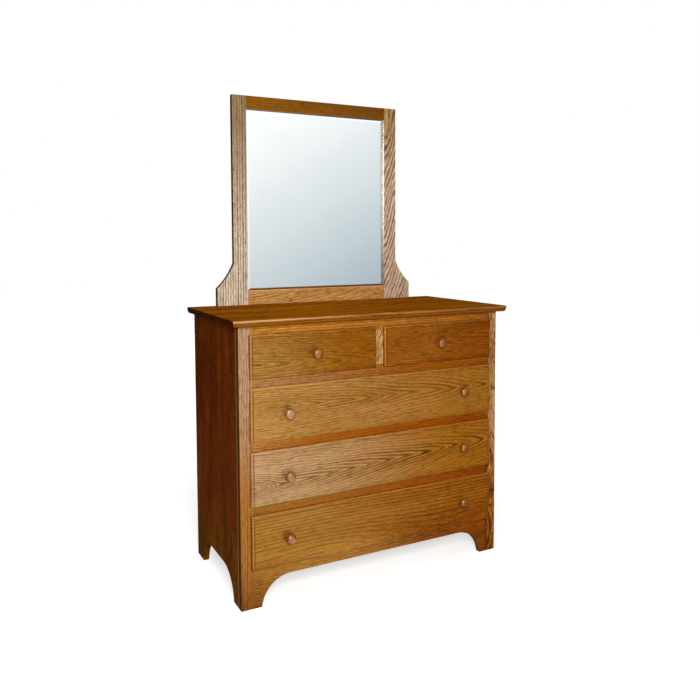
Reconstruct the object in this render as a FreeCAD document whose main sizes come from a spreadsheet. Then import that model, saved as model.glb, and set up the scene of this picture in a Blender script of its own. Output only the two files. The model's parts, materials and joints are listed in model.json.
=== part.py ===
"""Oak dresser: two small drawers over three wide ones, with a fixed mirror on a footed frame.

Millimetres, +Z up, +X to the right of someone facing the drawers, -Y towards that person.
The origin is the middle of the footprint, on the floor.
"""

import FreeCAD, Part
import math
import os
import Sketcher

# Driving sizes, in millimetres, with the names that the document's sheet gives them
SIZES = {
    # Case and face frame
    "case_width": 936,
    "case_depth": 457,
    "side_thick": 19,
    "frame_thick": 19,
    "stile_width": 41.5,
    "centre_stile_width": 48,
    "rail_height": 46,
    "top_rail_height": 36.5,
    "apron_height": 127.5,
    "corner_ease": 3,
    "tenon_thick": 6.5,
    "tenon_length": 25,
    "tenon_shoulder": 6,
    # Arches between the feet
    "foot_width": 65,
    "side_foot_depth": 68,
    "arch_height": 86,
    "arch_radius": 95,
    # Top board
    "top_thick": 20,
    "top_side_overhang": 22,
    "top_front_overhang": 27,
    "top_rear_overhang": 6,
    "nose_height": 11,
    "nose_quirk": 1.5,
    # Back, rear rails and blocks
    "back_thick": 6,
    "back_rabbet": 8,
    "back_clear_of_floor": 100,
    "rear_rail_thick": 19,
    "rear_rail_height": 60,
    "glue_block": 28,
    "block_clear_of_floor": 12,
    # Runners
    "ledge_width": 22,
    "lower_ledge_height": 36,
    "guide_height": 20,
    "centre_guide_gap": 0.5,
    # Drawers
    "wide_opening_height": 144,
    "small_opening_height": 110,
    "lip_overlap": 9.5,
    "lip_proud": 9.5,
    "front_thick": 19,
    "field_border": 10,
    "field_step": 1.3,
    "drawer_side_thick": 12,
    "drawer_back_thick": 12,
    "drawer_bottom_thick": 6,
    "bottom_rise": 10,
    "groove_depth": 6,
    "back_drop": 6,
    "drawer_rear_room": 7,
    # Knobs
    "knob_radius": 16,
    "knob_reach": 26.5,
    "knob_inset": 118,
    # Mirror
    "mirror_height": 729,
    "mirror_inset": 140,
    "mirror_flare_width": 61.5,
    "mirror_flare_radius": 230,
    "mirror_foot_block": 61,
    "mirror_foot_height": 148,
    "post_width": 51,
    "mirror_thick": 20,
    "mirror_top_rail": 45,
    "mirror_bottom_rail": 48,
    "mirror_lip": 9,
    "mirror_rabbet": 8,
    "mirror_tenon_thick": 5,
    "glass_thick": 4,
    "glass_bevel_width": 17,
    "glass_bevel_depth": 1.2,
    "backing_thick": 3,
    # Steel straps that hold the mirror to the case
    "strap_width": 32,
    "strap_thick": 3,
    "strap_above_top": 150,
    "strap_below_top": 110,
    "strap_crank": 12,
    # Clearances
    "closing_gap": 0.3,
    "running_gap": 0.3,
    "drawer_head_gap": 1.2,
    "drawer_side_gap": 1,
    "panel_gap": 0.5,
}

# Shares of the sizes that they follow
NOSE_EASE_SHARE = 0.2
OVOLO_SHARE = 0.75
LIP_ROUND_SHARE = 0.7
TAIL_ROOT_SHARE = 0.46
TAIL_END_SHARE = 0.68
KNOB_NECK_SHARE = 0.55
KNOB_LEVEL_SHARES = (0.27, 0.55, 0.67)

# Dovetails at each front corner, and steps along the knob's flare and crown
WIDE_TAIL_COUNT = 4
SMALL_TAIL_COUNT = 3
KNOB_FLARE_COUNT = 2
KNOB_CROWN_COUNT = 2
KNOB_CROWN_TURN = math.radians(60)

LEFT, RIGHT = -1, 1
CLOCKWISE, ANTICLOCKWISE = -1, 1
ZERO_TOLERANCE = 1e-6
EDGE_TOLERANCE = 1e-3

doc = FreeCAD.newDocument("Dresser")
nodes = []


class Size:
    """A number together with the expression that gives it in the document."""

    def __init__(self, number, text):
        self.number = number
        self.text = text

    def __add__(self, other):
        other = as_size(other)
        return Size(self.number + other.number, f"({self.text} + {other.text})")

    def __sub__(self, other):
        other = as_size(other)
        return Size(self.number - other.number, f"({self.text} - {other.text})")

    def __mul__(self, other):
        other = as_size(other)
        return Size(self.number * other.number, f"({self.text} * {other.text})")

    def __truediv__(self, other):
        other = as_size(other)
        return Size(self.number / other.number, f"({self.text} / {other.text})")

    def __neg__(self):
        return self * -1

    __radd__ = __add__
    __rmul__ = __mul__

    def root(self):
        return Size(math.sqrt(self.number), f"sqrt({self.text})")


ZERO = Size(0.0, "0")


def as_size(value):
    return value if isinstance(value, Size) else Size(float(value), f"({value})")


class Sheet:
    """A spreadsheet of the document whose aliases are read back as attributes."""

    def __init__(self, name):
        self.name = name
        self.cells = doc.addObject("Spreadsheet::Sheet", name)
        self.row = 0

    def put(self, alias, number, content):
        self.row += 1
        self.cells.set(f"A{self.row}", alias)
        self.cells.set(f"B{self.row}", content)
        self.cells.setAlias(f"B{self.row}", alias)
        setattr(self, alias, Size(float(number), f"{self.name}.{alias}"))

    def derive(self, alias, size):
        self.put(alias, size.number, "=" + size.text)


s = Sheet("Sizes")
for size_name, size_number in SIZES.items():
    s.put(size_name, size_number, str(size_number))
doc.recompute()

# Places and widths that follow from the driving sizes
lay = Sheet("Layout")
lay.derive("half_case", s.case_width / 2)
lay.derive("half_inside", lay.half_case - s.side_thick)
lay.derive("half_opening", lay.half_case - s.stile_width)
lay.derive("level", s.wide_opening_height + s.rail_height)
lay.derive("floor_of_drawer_1", s.apron_height)
lay.derive("floor_of_drawer_2", lay.floor_of_drawer_1 + lay.level)
lay.derive("floor_of_drawer_3", lay.floor_of_drawer_2 + lay.level)
lay.derive("floor_of_small", lay.floor_of_drawer_3 + lay.level)
lay.derive("head_of_small", lay.floor_of_small + s.small_opening_height)
lay.derive("top_underside", lay.head_of_small + s.top_rail_height)
lay.derive("top_surface", lay.top_underside + s.top_thick)
lay.derive("small_opening_width", lay.half_opening - s.centre_stile_width / 2)
lay.derive("small_centre", (lay.half_opening + s.centre_stile_width / 2) / 2)
lay.derive("back_face", s.case_depth - s.back_thick)
lay.derive("rear_rail_face", lay.back_face - s.rear_rail_thick)
lay.derive("top_rear", s.case_depth + s.top_rear_overhang)
lay.derive("front_reach", s.lip_proud + s.knob_reach)
lay.derive("rear_reach", lay.top_rear + s.strap_thick)
lay.derive("frame_front", (lay.front_reach - lay.rear_reach) / 2)
lay.derive("mirror_front", lay.top_rear - s.mirror_thick)
lay.derive("arch_run", (s.arch_height * (s.arch_radius * 2 - s.arch_height)).root())
lay.derive("front_inner", s.front_thick - s.lip_proud)
lay.derive("drawer_rear", lay.rear_rail_face - s.drawer_rear_room)
doc.recompute()


def bind(target, name, size):
    """Set a property to a size and keep it tied to the sheet."""
    target.setExpression(name, size.text)


def place(target, x, y, z):
    target.Placement.Base = FreeCAD.Vector(x.number, y.number, z.number)
    for axis, size in (("x", x), ("y", y), ("z", z)):
        bind(target, f"Placement.Base.{axis}", size)


def new_body(label, x, y, z, kept=True):
    body = doc.addObject("PartDesign::Body", label)
    body.Label = label
    place(body, x, y, z)
    if kept:
        nodes.append(body)
    return body


def case_body(label, kept=True):
    """A body whose own zero is the face frame's front plane, on the floor."""
    return new_body(label, ZERO, lay.frame_front, ZERO, kept)


# The sign of each plane's normal along the axis that the plane leaves out
PLANE_SIGNS = {"XY": 1, "XZ": -1, "YZ": 1}


def new_sketch(body, name, plane, offset=ZERO):
    """A sketch on one of the body's own planes, moved along the axis that the plane leaves out."""
    support = next(f for f in body.Origin.OriginFeatures if f.Role == plane + "_Plane")
    sketch = body.newObject("Sketcher::SketchObject", name)
    sketch.AttachmentSupport = [(support, "")]
    sketch.MapMode = "FlatFace"
    along = offset * PLANE_SIGNS[plane]
    sketch.AttachmentOffset = FreeCAD.Placement(FreeCAD.Vector(0, 0, along.number), FreeCAD.Rotation())
    bind(sketch, "AttachmentOffset.Base.z", along)
    return sketch


def constrain(sketch, kind, geometry, position, size):
    """Hold one coordinate of a point, on the axis itself where the size is nothing."""
    if abs(size.number) < ZERO_TOLERANCE:
        axis = {"DistanceX": -2, "DistanceY": -1}[kind]
        sketch.addConstraint(Sketcher.Constraint("PointOnObject", geometry, position, axis))
        return
    index = sketch.addConstraint(Sketcher.Constraint(kind, geometry, position, size.number))
    sketch.setExpression(f"Constraints[{index}]", size.text)


def arc_geometry(start, end, radius, turn):
    """The shorter arc from start to end, turning clockwise or anticlockwise."""
    chord = end - start
    middle = (start + end) * 0.5
    rise = math.sqrt(max(radius * radius - chord.Length * chord.Length / 4, 0))
    left = FreeCAD.Vector(-chord.y, chord.x, 0).normalize()
    centre = middle + left * (rise * turn)
    first, last = (start, end) if turn == ANTICLOCKWISE else (end, start)
    begin = math.atan2(first.y - centre.y, first.x - centre.x)
    finish = math.atan2(last.y - centre.y, last.x - centre.x)
    if finish < begin:
        finish += math.tau
    circle = Part.Circle(centre, FreeCAD.Vector(0, 0, 1), radius)
    return Part.ArcOfCircle(circle, begin, finish)


def draw(sketch, corners):
    """Draw a closed outline.

    Each corner is (across, up), and the edge that reaches it is straight, or
    (across, up, radius, turn), and the edge that reaches it is an arc.
    """
    points = [FreeCAD.Vector(c[0].number, c[1].number, 0) for c in corners]
    first = sketch.GeometryCount
    ends = []
    for index, corner in enumerate(corners):
        start, end = points[index - 1], points[index]
        if len(corner) == 2:
            geometry = sketch.addGeometry(Part.LineSegment(start, end), False)
            ends.append((geometry, 1, 2))
            continue
        radius, turn = corner[2:]
        geometry = sketch.addGeometry(arc_geometry(start, end, radius.number, turn), False)
        ends.append((geometry, 1, 2) if turn == ANTICLOCKWISE else (geometry, 2, 1))
    for index, (geometry, begin, finish) in enumerate(ends):
        following = ends[(index + 1) % len(ends)]
        sketch.addConstraint(Sketcher.Constraint("Coincident", geometry, finish, following[0], following[1]))
        constrain(sketch, "DistanceX", geometry, finish, corners[index][0])
        constrain(sketch, "DistanceY", geometry, finish, corners[index][1])
        if len(corners[index]) > 2:
            radius = corners[index][2]
            held = sketch.addConstraint(Sketcher.Constraint("Radius", first + index, radius.number))
            sketch.setExpression(f"Constraints[{held}]", radius.text)


def rectangle(sketch, left, low, right, high):
    draw(sketch, [(left, low), (right, low), (right, high), (left, high)])


def plane_sign(sketch):
    plane = sketch.AttachmentSupport[0][0].Role.replace("_Plane", "")
    return PLANE_SIGNS[plane]


def extrude(kind, sketch, length, towards):
    body = sketch.getParentGeoFeatureGroup()
    before = body.Shape.Volume if body.Tip else 0
    feature = body.newObject("PartDesign::" + kind, f"{sketch.Name}_{kind}")
    feature.Profile = sketch
    feature.Length = length.number
    bind(feature, "Length", length)
    along = towards * plane_sign(sketch)
    feature.Reversed = along > 0 if kind == "Pocket" else along < 0
    doc.recompute()
    change = body.Shape.Volume - before
    if change <= 0 and kind == "Pad" or change >= 0 and kind == "Pocket":
        raise ValueError(f"{feature.Name} changes nothing")
    return feature


def pad(sketch, length, towards=1):
    """Add material from the sketch, towards the positive or negative end of the axis."""
    return extrude("Pad", sketch, length, towards)


def pocket(sketch, length, towards=1):
    """Cut material from the sketch, towards the positive or negative end of the axis."""
    return extrude("Pocket", sketch, length, towards)


def round_edges(feature, radius, wanted):
    """Round the edges of a feature whose bounding box the test accepts."""
    body = feature.getParentGeoFeatureGroup()
    names = [f"Edge{i + 1}" for i, e in enumerate(feature.Shape.Edges) if wanted(e.BoundBox)]
    fillet = body.newObject("PartDesign::Fillet", feature.Name + "_round")
    fillet.Base = (feature, names)
    fillet.Radius = radius.number
    bind(fillet, "Radius", radius)
    doc.recompute()
    return fillet


def near(number, size):
    return abs(number - size.number) < EDGE_TOLERANCE


def board(label, left, front, low, width, depth, height, kept=True):
    """A plain square-edged board, placed from the face frame's front plane and the floor."""
    box = doc.addObject("Part::Box", label)
    box.Label = label
    for name, size in (("Length", width), ("Width", depth), ("Height", height)):
        setattr(box, name, size.number)
        bind(box, name, size)
    place(box, left, lay.frame_front + front, low)
    if kept:
        nodes.append(box)
    return box


def group(label, pieces):
    """Several like pieces kept as separate solids under one name."""
    compound = doc.addObject("Part::Compound", label)
    compound.Label = label
    compound.Links = pieces
    nodes.append(compound)
    return compound


# Case

RAILS = {
    "rail_top": (lay.head_of_small, s.top_rail_height),
    "rail_upper": (lay.floor_of_small - s.rail_height, s.rail_height),
    "rail_middle": (lay.floor_of_drawer_3 - s.rail_height, s.rail_height),
    "rail_lower": (lay.floor_of_drawer_2 - s.rail_height, s.rail_height),
    "rail_apron": (s.apron_height - s.rail_height, s.rail_height),
}
TENON_FRONT = (s.frame_thick - s.tenon_thick) / 2
TENON_REAR = TENON_FRONT + s.tenon_thick


def rail_tenon(sketch, low, height):
    """The section of a rail's tenon, or of the mortise that takes it."""
    rectangle(sketch, TENON_FRONT, low + s.tenon_shoulder, TENON_REAR, low + height - s.tenon_shoulder)


def outer_stile(label, side):
    """A stile that runs to the floor, mortised for every rail, with an eased outer corner."""
    body = case_body(label)
    outline = new_sketch(body, label + "_face", "XZ")
    across = (lay.half_case * side, lay.half_opening * side)
    rectangle(outline, across[0], ZERO, across[1], lay.top_underside)
    stile = pad(outline, s.frame_thick)
    round_edges(stile, s.corner_ease, lambda box: near(box.XMin, across[0]) and near(box.XMax, across[0])
                and near(box.YMin, ZERO) and near(box.YMax, ZERO))
    mortises = new_sketch(body, label + "_mortises", "YZ", across[1])
    for low, height in RAILS.values():
        rail_tenon(mortises, low, height)
    pocket(mortises, s.tenon_length, side)


def centre_stile():
    """The short stile between the small drawers, tenoned into the rails above and below."""
    body = case_body("stile_centre")
    half = s.centre_stile_width / 2
    outline = new_sketch(body, "stile_centre_face", "XZ")
    rectangle(outline, -half, lay.floor_of_small, half, lay.head_of_small)
    pad(outline, s.frame_thick)
    tenons = new_sketch(body, "stile_centre_tenons", "XY", lay.floor_of_small - s.tenon_length)
    centre_tenon(tenons)
    pad(tenons, s.small_opening_height + s.tenon_length * 2)


def centre_tenon(sketch):
    reach = s.centre_stile_width / 2 - s.tenon_shoulder
    rectangle(sketch, -reach, TENON_FRONT, reach, TENON_REAR)


def rail(label):
    """A rail of the face frame with a tenon at each end; the apron also has its arch and feet."""
    low, height = RAILS[label]
    body = case_body(label)
    outline = new_sketch(body, label + "_face", "XZ")
    inner = lay.half_opening
    if label == "rail_apron":
        foot = lay.half_case - s.foot_width
        flat = foot - lay.arch_run
        draw(outline, [
            (-inner, ZERO),
            (-foot, ZERO),
            (-flat, s.arch_height, s.arch_radius, CLOCKWISE),
            (flat, s.arch_height),
            (foot, ZERO, s.arch_radius, CLOCKWISE),
            (inner, ZERO),
            (inner, s.apron_height),
            (-inner, s.apron_height),
        ])
    else:
        rectangle(outline, -inner, low, inner, low + height)
    pad(outline, s.frame_thick)
    reach = inner + s.tenon_length
    tenons = new_sketch(body, label + "_tenons", "YZ", -reach)
    rail_tenon(tenons, low, height)
    pad(tenons, reach * 2)
    if label in ("rail_top", "rail_upper"):
        upwards = 1 if label == "rail_top" else -1
        mouth = low if label == "rail_top" else low + height
        mortise = new_sketch(body, label + "_mortise", "XY", mouth)
        centre_tenon(mortise)
        pocket(mortise, s.tenon_length, upwards)


def side_panel(label, side):
    """A solid side, arched between its feet and rabbeted for the back panel."""
    body = case_body(label)
    outline = new_sketch(body, label + "_outline", "YZ", lay.half_inside * side)
    front_foot = s.side_foot_depth
    rear_foot = s.case_depth - s.side_foot_depth
    draw(outline, [
        (s.frame_thick, ZERO),
        (front_foot, ZERO),
        (front_foot + lay.arch_run, s.arch_height, s.arch_radius, CLOCKWISE),
        (rear_foot - lay.arch_run, s.arch_height),
        (rear_foot, ZERO, s.arch_radius, CLOCKWISE),
        (s.case_depth, ZERO),
        (s.case_depth, lay.top_underside),
        (s.frame_thick, lay.top_underside),
    ])
    pad(outline, s.side_thick, side)
    rabbet = new_sketch(body, label + "_rabbet", "XY", s.back_clear_of_floor)
    inner = lay.half_inside * side
    rectangle(rabbet, inner, lay.back_face, inner + s.back_rabbet * side, s.case_depth)
    pocket(rabbet, lay.top_underside - s.back_clear_of_floor)


def top_board():
    """The overhanging top: a square nose over a quirk and an ovolo, on its front and two ends."""
    body = new_body("top_board", ZERO, lay.frame_front, lay.top_underside)
    half = lay.half_case + s.top_side_overhang
    below_nose = s.top_thick - s.nose_height
    lower = new_sketch(body, "top_board_lower", "XY")
    narrow = half - s.nose_quirk
    rectangle(lower, -narrow, s.nose_quirk - s.top_front_overhang, narrow, lay.top_rear)
    pad(lower, below_nose)
    upper = new_sketch(body, "top_board_upper", "XY", below_nose)
    rectangle(upper, -half, -s.top_front_overhang, half, lay.top_rear)
    nose = pad(upper, s.nose_height)

    def moulded(level):
        return lambda box: (near(box.ZMin, level) and near(box.ZMax, level)
                            and not (near(box.YMin, lay.top_rear) and near(box.YMax, lay.top_rear)))

    ovolo = round_edges(nose, below_nose * OVOLO_SHARE, moulded(ZERO))
    round_edges(ovolo, s.nose_height * NOSE_EASE_SHARE, moulded(s.top_thick))


def back_and_rear_rails():
    """The back panel in its rabbets, and the rails across the rear of the case."""
    half = lay.half_inside + s.back_rabbet
    board("back_panel", -half, lay.back_face, s.back_clear_of_floor,
          half * 2, s.back_thick, lay.top_underside - s.back_clear_of_floor)
    lows = {
        "rear_rail_top": lay.top_underside - s.rear_rail_height,
        "rear_rail_middle": lay.floor_of_small - s.rear_rail_height,
        "rear_rail_bottom": s.back_clear_of_floor,
    }
    for label, low in lows.items():
        board(label, -lay.half_inside, lay.rear_rail_face, low,
              lay.half_inside * 2, s.rear_rail_thick, s.rear_rail_height)


def side_runner(label, level, ledge_height, side):
    """A rabbeted runner: its ledge carries the drawer side and its shoulder guides it."""
    body = case_body(label, kept=False)
    profile = new_sketch(body, label + "_profile", "XZ", s.frame_thick)
    wall = lay.half_inside * side
    shoulder = lay.half_opening * side
    edge = (lay.half_opening - s.ledge_width) * side
    draw(profile, [
        (wall, level - ledge_height),
        (edge, level - ledge_height),
        (edge, level),
        (shoulder, level),
        (shoulder, level + s.guide_height),
        (wall, level + s.guide_height),
    ])
    pad(profile, lay.rear_rail_face - s.frame_thick)
    return body


def centre_runner():
    """The runner between the small drawers, with a ledge and a shoulder for each."""
    body = case_body("runner_centre", kept=False)
    profile = new_sketch(body, "runner_centre_profile", "XZ", s.frame_thick)
    rib = s.centre_stile_width / 2 - s.centre_guide_gap
    edge = s.centre_stile_width / 2 + s.ledge_width
    level = lay.floor_of_small
    low = level - s.rail_height
    high = level + s.guide_height
    draw(profile, [(-edge, low), (edge, low), (edge, level), (rib, level),
                   (rib, high), (-rib, high), (-rib, level), (-edge, level)])
    pad(profile, lay.rear_rail_face - s.frame_thick)
    return body


def runners_and_kickers():
    levels = {
        "runners_bottom": (lay.floor_of_drawer_1, s.lower_ledge_height),
        "runners_lower": (lay.floor_of_drawer_2, s.rail_height),
        "runners_middle": (lay.floor_of_drawer_3, s.rail_height),
        "runners_small": (lay.floor_of_small, s.rail_height),
    }
    for label, (level, ledge_height) in levels.items():
        pieces = [side_runner(f"{label}_{hand}", level, ledge_height, side)
                  for hand, side in (("left", LEFT), ("right", RIGHT))]
        if label == "runners_small":
            pieces.append(centre_runner())
        group(label, pieces)
    width = lay.half_inside - lay.half_opening + s.ledge_width
    centre_width = s.centre_stile_width + s.ledge_width * 2
    places = {
        "kicker_left": (-lay.half_inside, width),
        "kicker_right": (lay.half_inside - width, width),
        "kicker_centre": (-(centre_width / 2), centre_width),
    }
    depth = lay.rear_rail_face - s.frame_thick
    group("kickers", [board(label, left, s.frame_thick, lay.head_of_small,
                            across, depth, s.top_rail_height, kept=False)
                      for label, (left, across) in places.items()])


def glue_blocks():
    """Two blocks in the front corners, behind the apron's feet."""
    height = s.apron_height - s.lower_ledge_height - s.block_clear_of_floor
    lefts = {"block_left": -lay.half_inside, "block_right": lay.half_inside - s.glue_block}
    group("glue_blocks", [board(label, left, s.frame_thick, s.block_clear_of_floor,
                                s.glue_block, s.glue_block, height, kept=False)
                          for label, left in lefts.items()])


# Drawers

class Drawer:
    """A lipped drawer: dovetailed at the front, housed at the back, with its bottom in grooves."""

    def __init__(self, label, centre, level, width, height, tails, knob_places):
        self.label = label
        self.centre = centre
        self.level = level
        self.width = width
        self.height = height
        self.tails = tails
        self.knob_places = knob_places
        self.half_box = width / 2 - s.drawer_side_gap
        self.side_height = height - s.running_gap - s.drawer_head_gap
        self.inside = self.half_box - s.drawer_side_thick
        self.groove_low = s.running_gap + s.bottom_rise
        self.groove_high = self.groove_low + s.drawer_bottom_thick
        self.back_front = lay.drawer_rear - s.drawer_back_thick * 2

    def body(self, name, kept=True):
        return new_body(f"{self.label}_{name}", self.centre, lay.frame_front, self.level, kept)

    def sketch(self, body, name, plane, offset=ZERO):
        return new_sketch(body, f"{body.Label}_{name}", plane, offset)

    def board(self, name, left, front, low, width, depth, height):
        board(f"{self.label}_{name}", self.centre + left, front, self.level + low, width, depth, height)

    def draw_tails(self, sketch):
        """The row of dovetails, narrow where the side begins and wide against the lip."""
        pitch = self.side_height / self.tails
        root = pitch * (TAIL_ROOT_SHARE / 2)
        end = pitch * (TAIL_END_SHARE / 2)
        for index in range(self.tails):
            middle = s.running_gap + pitch * (index + 0.5)
            draw(sketch, [
                (-s.closing_gap, middle - end),
                (lay.front_inner, middle - root),
                (lay.front_inner, middle + root),
                (-s.closing_gap, middle + end),
            ])

    def front(self):
        """The front: a rounded lip with a raised field, and a block that enters the opening."""
        body = self.body("front")
        lip_edge = s.lip_proud - s.closing_gap - s.field_step
        half_lip = self.width / 2 + s.lip_overlap
        head = self.height + s.lip_overlap
        lip = self.sketch(body, "lip", "XZ", -s.closing_gap)
        rectangle(lip, -half_lip, -s.lip_overlap, half_lip, head)
        pad(lip, lip_edge, -1)
        block = self.sketch(body, "block", "XZ", -s.closing_gap)
        rectangle(block, -self.half_box, s.running_gap, self.half_box, s.running_gap + self.side_height)
        blocked = pad(block, lay.front_inner + s.closing_gap)
        lip_face = s.field_step - s.lip_proud
        round_edges(blocked, lip_edge * LIP_ROUND_SHARE,
                    lambda box: near(box.YMin, lip_face) and near(box.YMax, lip_face))
        field = self.sketch(body, "field", "XZ", lip_face)
        rectangle(field, s.field_border - half_lip, s.field_border - s.lip_overlap,
                  half_lip - s.field_border, head - s.field_border)
        pad(field, s.field_step, -1)
        groove = self.sketch(body, "groove", "YZ", -self.half_box)
        rectangle(groove, lay.front_inner - s.groove_depth, self.groove_low, lay.front_inner, self.groove_high)
        pocket(groove, self.half_box * 2)
        for hand, side in (("left", LEFT), ("right", RIGHT)):
            sockets = self.sketch(body, "sockets_" + hand, "YZ", self.inside * side)
            self.draw_tails(sockets)
            pocket(sockets, s.drawer_side_thick, side)

    def side(self, hand, side):
        """A side with dovetails on its front end, a groove for the bottom and a housing for the back."""
        body = self.body("side_" + hand)
        face = self.inside * side
        outline = self.sketch(body, "outline", "YZ", face)
        rectangle(outline, lay.front_inner, s.running_gap, lay.drawer_rear, s.running_gap + self.side_height)
        pad(outline, s.drawer_side_thick, side)
        tails = self.sketch(body, "tails", "YZ", face)
        self.draw_tails(tails)
        pad(tails, s.drawer_side_thick, side)
        groove = self.sketch(body, "groove", "XZ", -s.closing_gap)
        rectangle(groove, face, self.groove_low, face + s.groove_depth * side, self.groove_high)
        pocket(groove, lay.drawer_rear + s.closing_gap)
        housing = self.sketch(body, "housing", "YZ", face)
        rectangle(housing, self.back_front, self.groove_high,
                  self.back_front + s.drawer_back_thick, s.running_gap + self.side_height)
        pocket(housing, s.groove_depth, side)

    def back_and_bottom(self):
        reach = self.inside + s.groove_depth
        low = self.groove_high
        high = s.running_gap + self.side_height - s.back_drop
        self.board("back", -reach, self.back_front, low, reach * 2, s.drawer_back_thick, high - low)
        front = lay.front_inner - s.groove_depth + s.panel_gap
        half = reach - s.panel_gap
        self.board("bottom", -half, front, self.groove_low, half * 2,
                   self.back_front + s.drawer_back_thick - front, s.drawer_bottom_thick)

    def knobs(self):
        if len(self.knob_places) == 1:
            knob(self.label + "_knob", self.centre, self.level + self.height / 2, kept=True)
            return
        pieces = [knob(f"{self.label}_knob_{index}", self.centre + across,
                       self.level + self.height / 2, kept=False)
                  for index, across in enumerate(self.knob_places, start=1)]
        group(self.label + "_knobs", pieces)

    def build(self):
        self.front()
        self.side("left", LEFT)
        self.side("right", RIGHT)
        self.back_and_bottom()
        self.knobs()


def knob_profile():
    """Half of the turned profile: neck, hollow flare, rim, and a rounded crown that ends flat."""
    radius, reach = s.knob_radius, s.knob_reach
    neck = radius * KNOB_NECK_SHARE
    flare_low, rim_low, rim_high = (reach * share for share in KNOB_LEVEL_SHARES)
    corners = [(ZERO, ZERO), (neck, ZERO), (neck, -flare_low)]
    for step in range(1, KNOB_FLARE_COUNT + 1):
        share = step / KNOB_FLARE_COUNT
        corners.append((neck + (radius - neck) * share ** 2, -flare_low - (rim_low - flare_low) * share))
    for step in range(KNOB_CROWN_COUNT + 1):
        turn = KNOB_CROWN_TURN * step / KNOB_CROWN_COUNT
        rise = (reach - rim_high) * (math.sin(turn) / math.sin(KNOB_CROWN_TURN))
        corners.append((radius * math.cos(turn), -rim_high - rise))
    corners.append((ZERO, -reach))
    return corners


def knob(label, x, z, kept):
    """A turned mushroom knob whose foot is screwed flat against the drawer front."""
    body = new_body(label, x, lay.frame_front - s.lip_proud, z, kept)
    profile = new_sketch(body, label + "_profile", "XY")
    draw(profile, knob_profile())
    turned = body.newObject("PartDesign::Revolution", label + "_turned")
    turned.Profile = profile
    turned.ReferenceAxis = (profile, ["V_Axis"])
    turned.Angle = 360
    doc.recompute()
    return body


def drawers():
    wide = lay.half_opening * 2
    knob_across = lay.half_opening + s.lip_overlap - s.knob_inset
    levels = {
        "drawer_bottom": lay.floor_of_drawer_1,
        "drawer_lower": lay.floor_of_drawer_2,
        "drawer_upper": lay.floor_of_drawer_3,
    }
    for label, level in levels.items():
        Drawer(label, ZERO, level, wide, s.wide_opening_height, WIDE_TAIL_COUNT,
               [-knob_across, knob_across]).build()
    for label, side in (("drawer_small_left", LEFT), ("drawer_small_right", RIGHT)):
        Drawer(label, lay.small_centre * side, lay.floor_of_small, lay.small_opening_width,
               s.small_opening_height, SMALL_TAIL_COUNT, [ZERO]).build()


# Mirror

MIRROR_TENON_FRONT = s.mirror_lip - s.mirror_tenon_thick
half_mirror = lay.half_case - s.mirror_inset
half_sight = half_mirror - s.post_width
sight_low = s.mirror_bottom_rail
sight_high = s.mirror_height - s.mirror_top_rail


def mirror_body(label, kept=True):
    """A body whose own zero is the mirror frame's front plane, on the top board."""
    return new_body(label, ZERO, lay.frame_front + lay.mirror_front, lay.top_surface, kept)


def mirror_tenon(sketch, low, high):
    rectangle(sketch, MIRROR_TENON_FRONT, low + s.tenon_shoulder, s.mirror_lip, high - s.tenon_shoulder)


def mirror_post(label, side):
    """An upright whose foot sweeps outwards, mortised for the rails and rabbeted for the glass."""
    body = mirror_body(label)
    outer, inner = half_mirror * side, half_sight * side
    foot = (half_mirror + s.mirror_flare_width) * side
    turn = CLOCKWISE if side == LEFT else ANTICLOCKWISE
    outline = new_sketch(body, label + "_face", "XZ")
    draw(outline, [
        (foot, ZERO),
        (inner, ZERO),
        (inner, s.mirror_height),
        (outer, s.mirror_height),
        (outer, s.mirror_foot_height),
        (foot, s.mirror_foot_block, s.mirror_flare_radius, turn),
    ])
    pad(outline, s.mirror_thick)
    rabbet = new_sketch(body, label + "_rabbet", "XZ", s.mirror_lip)
    rectangle(rabbet, inner, sight_low - s.mirror_rabbet, inner + s.mirror_rabbet * side,
              sight_high + s.mirror_rabbet)
    pocket(rabbet, s.mirror_thick - s.mirror_lip)
    mortises = new_sketch(body, label + "_mortises", "YZ", inner)
    mirror_tenon(mortises, ZERO, sight_low)
    mirror_tenon(mortises, sight_high, s.mirror_height)
    pocket(mortises, s.tenon_length, side)


def mirror_rail(label, low, high, rabbet_low):
    """A rail of the mirror frame: tenoned into both posts and rabbeted along the glass."""
    body = mirror_body(label)
    outline = new_sketch(body, label + "_face", "XZ")
    rectangle(outline, -half_sight, low, half_sight, high)
    pad(outline, s.mirror_thick)
    reach = half_sight + s.tenon_length
    tenons = new_sketch(body, label + "_tenons", "YZ", -reach)
    mirror_tenon(tenons, low, high)
    pad(tenons, reach * 2)
    rabbet = new_sketch(body, label + "_rabbet", "XZ", s.mirror_lip)
    rectangle(rabbet, -half_sight, rabbet_low, half_sight, rabbet_low + s.mirror_rabbet)
    pocket(rabbet, s.mirror_thick - s.mirror_lip)


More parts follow.
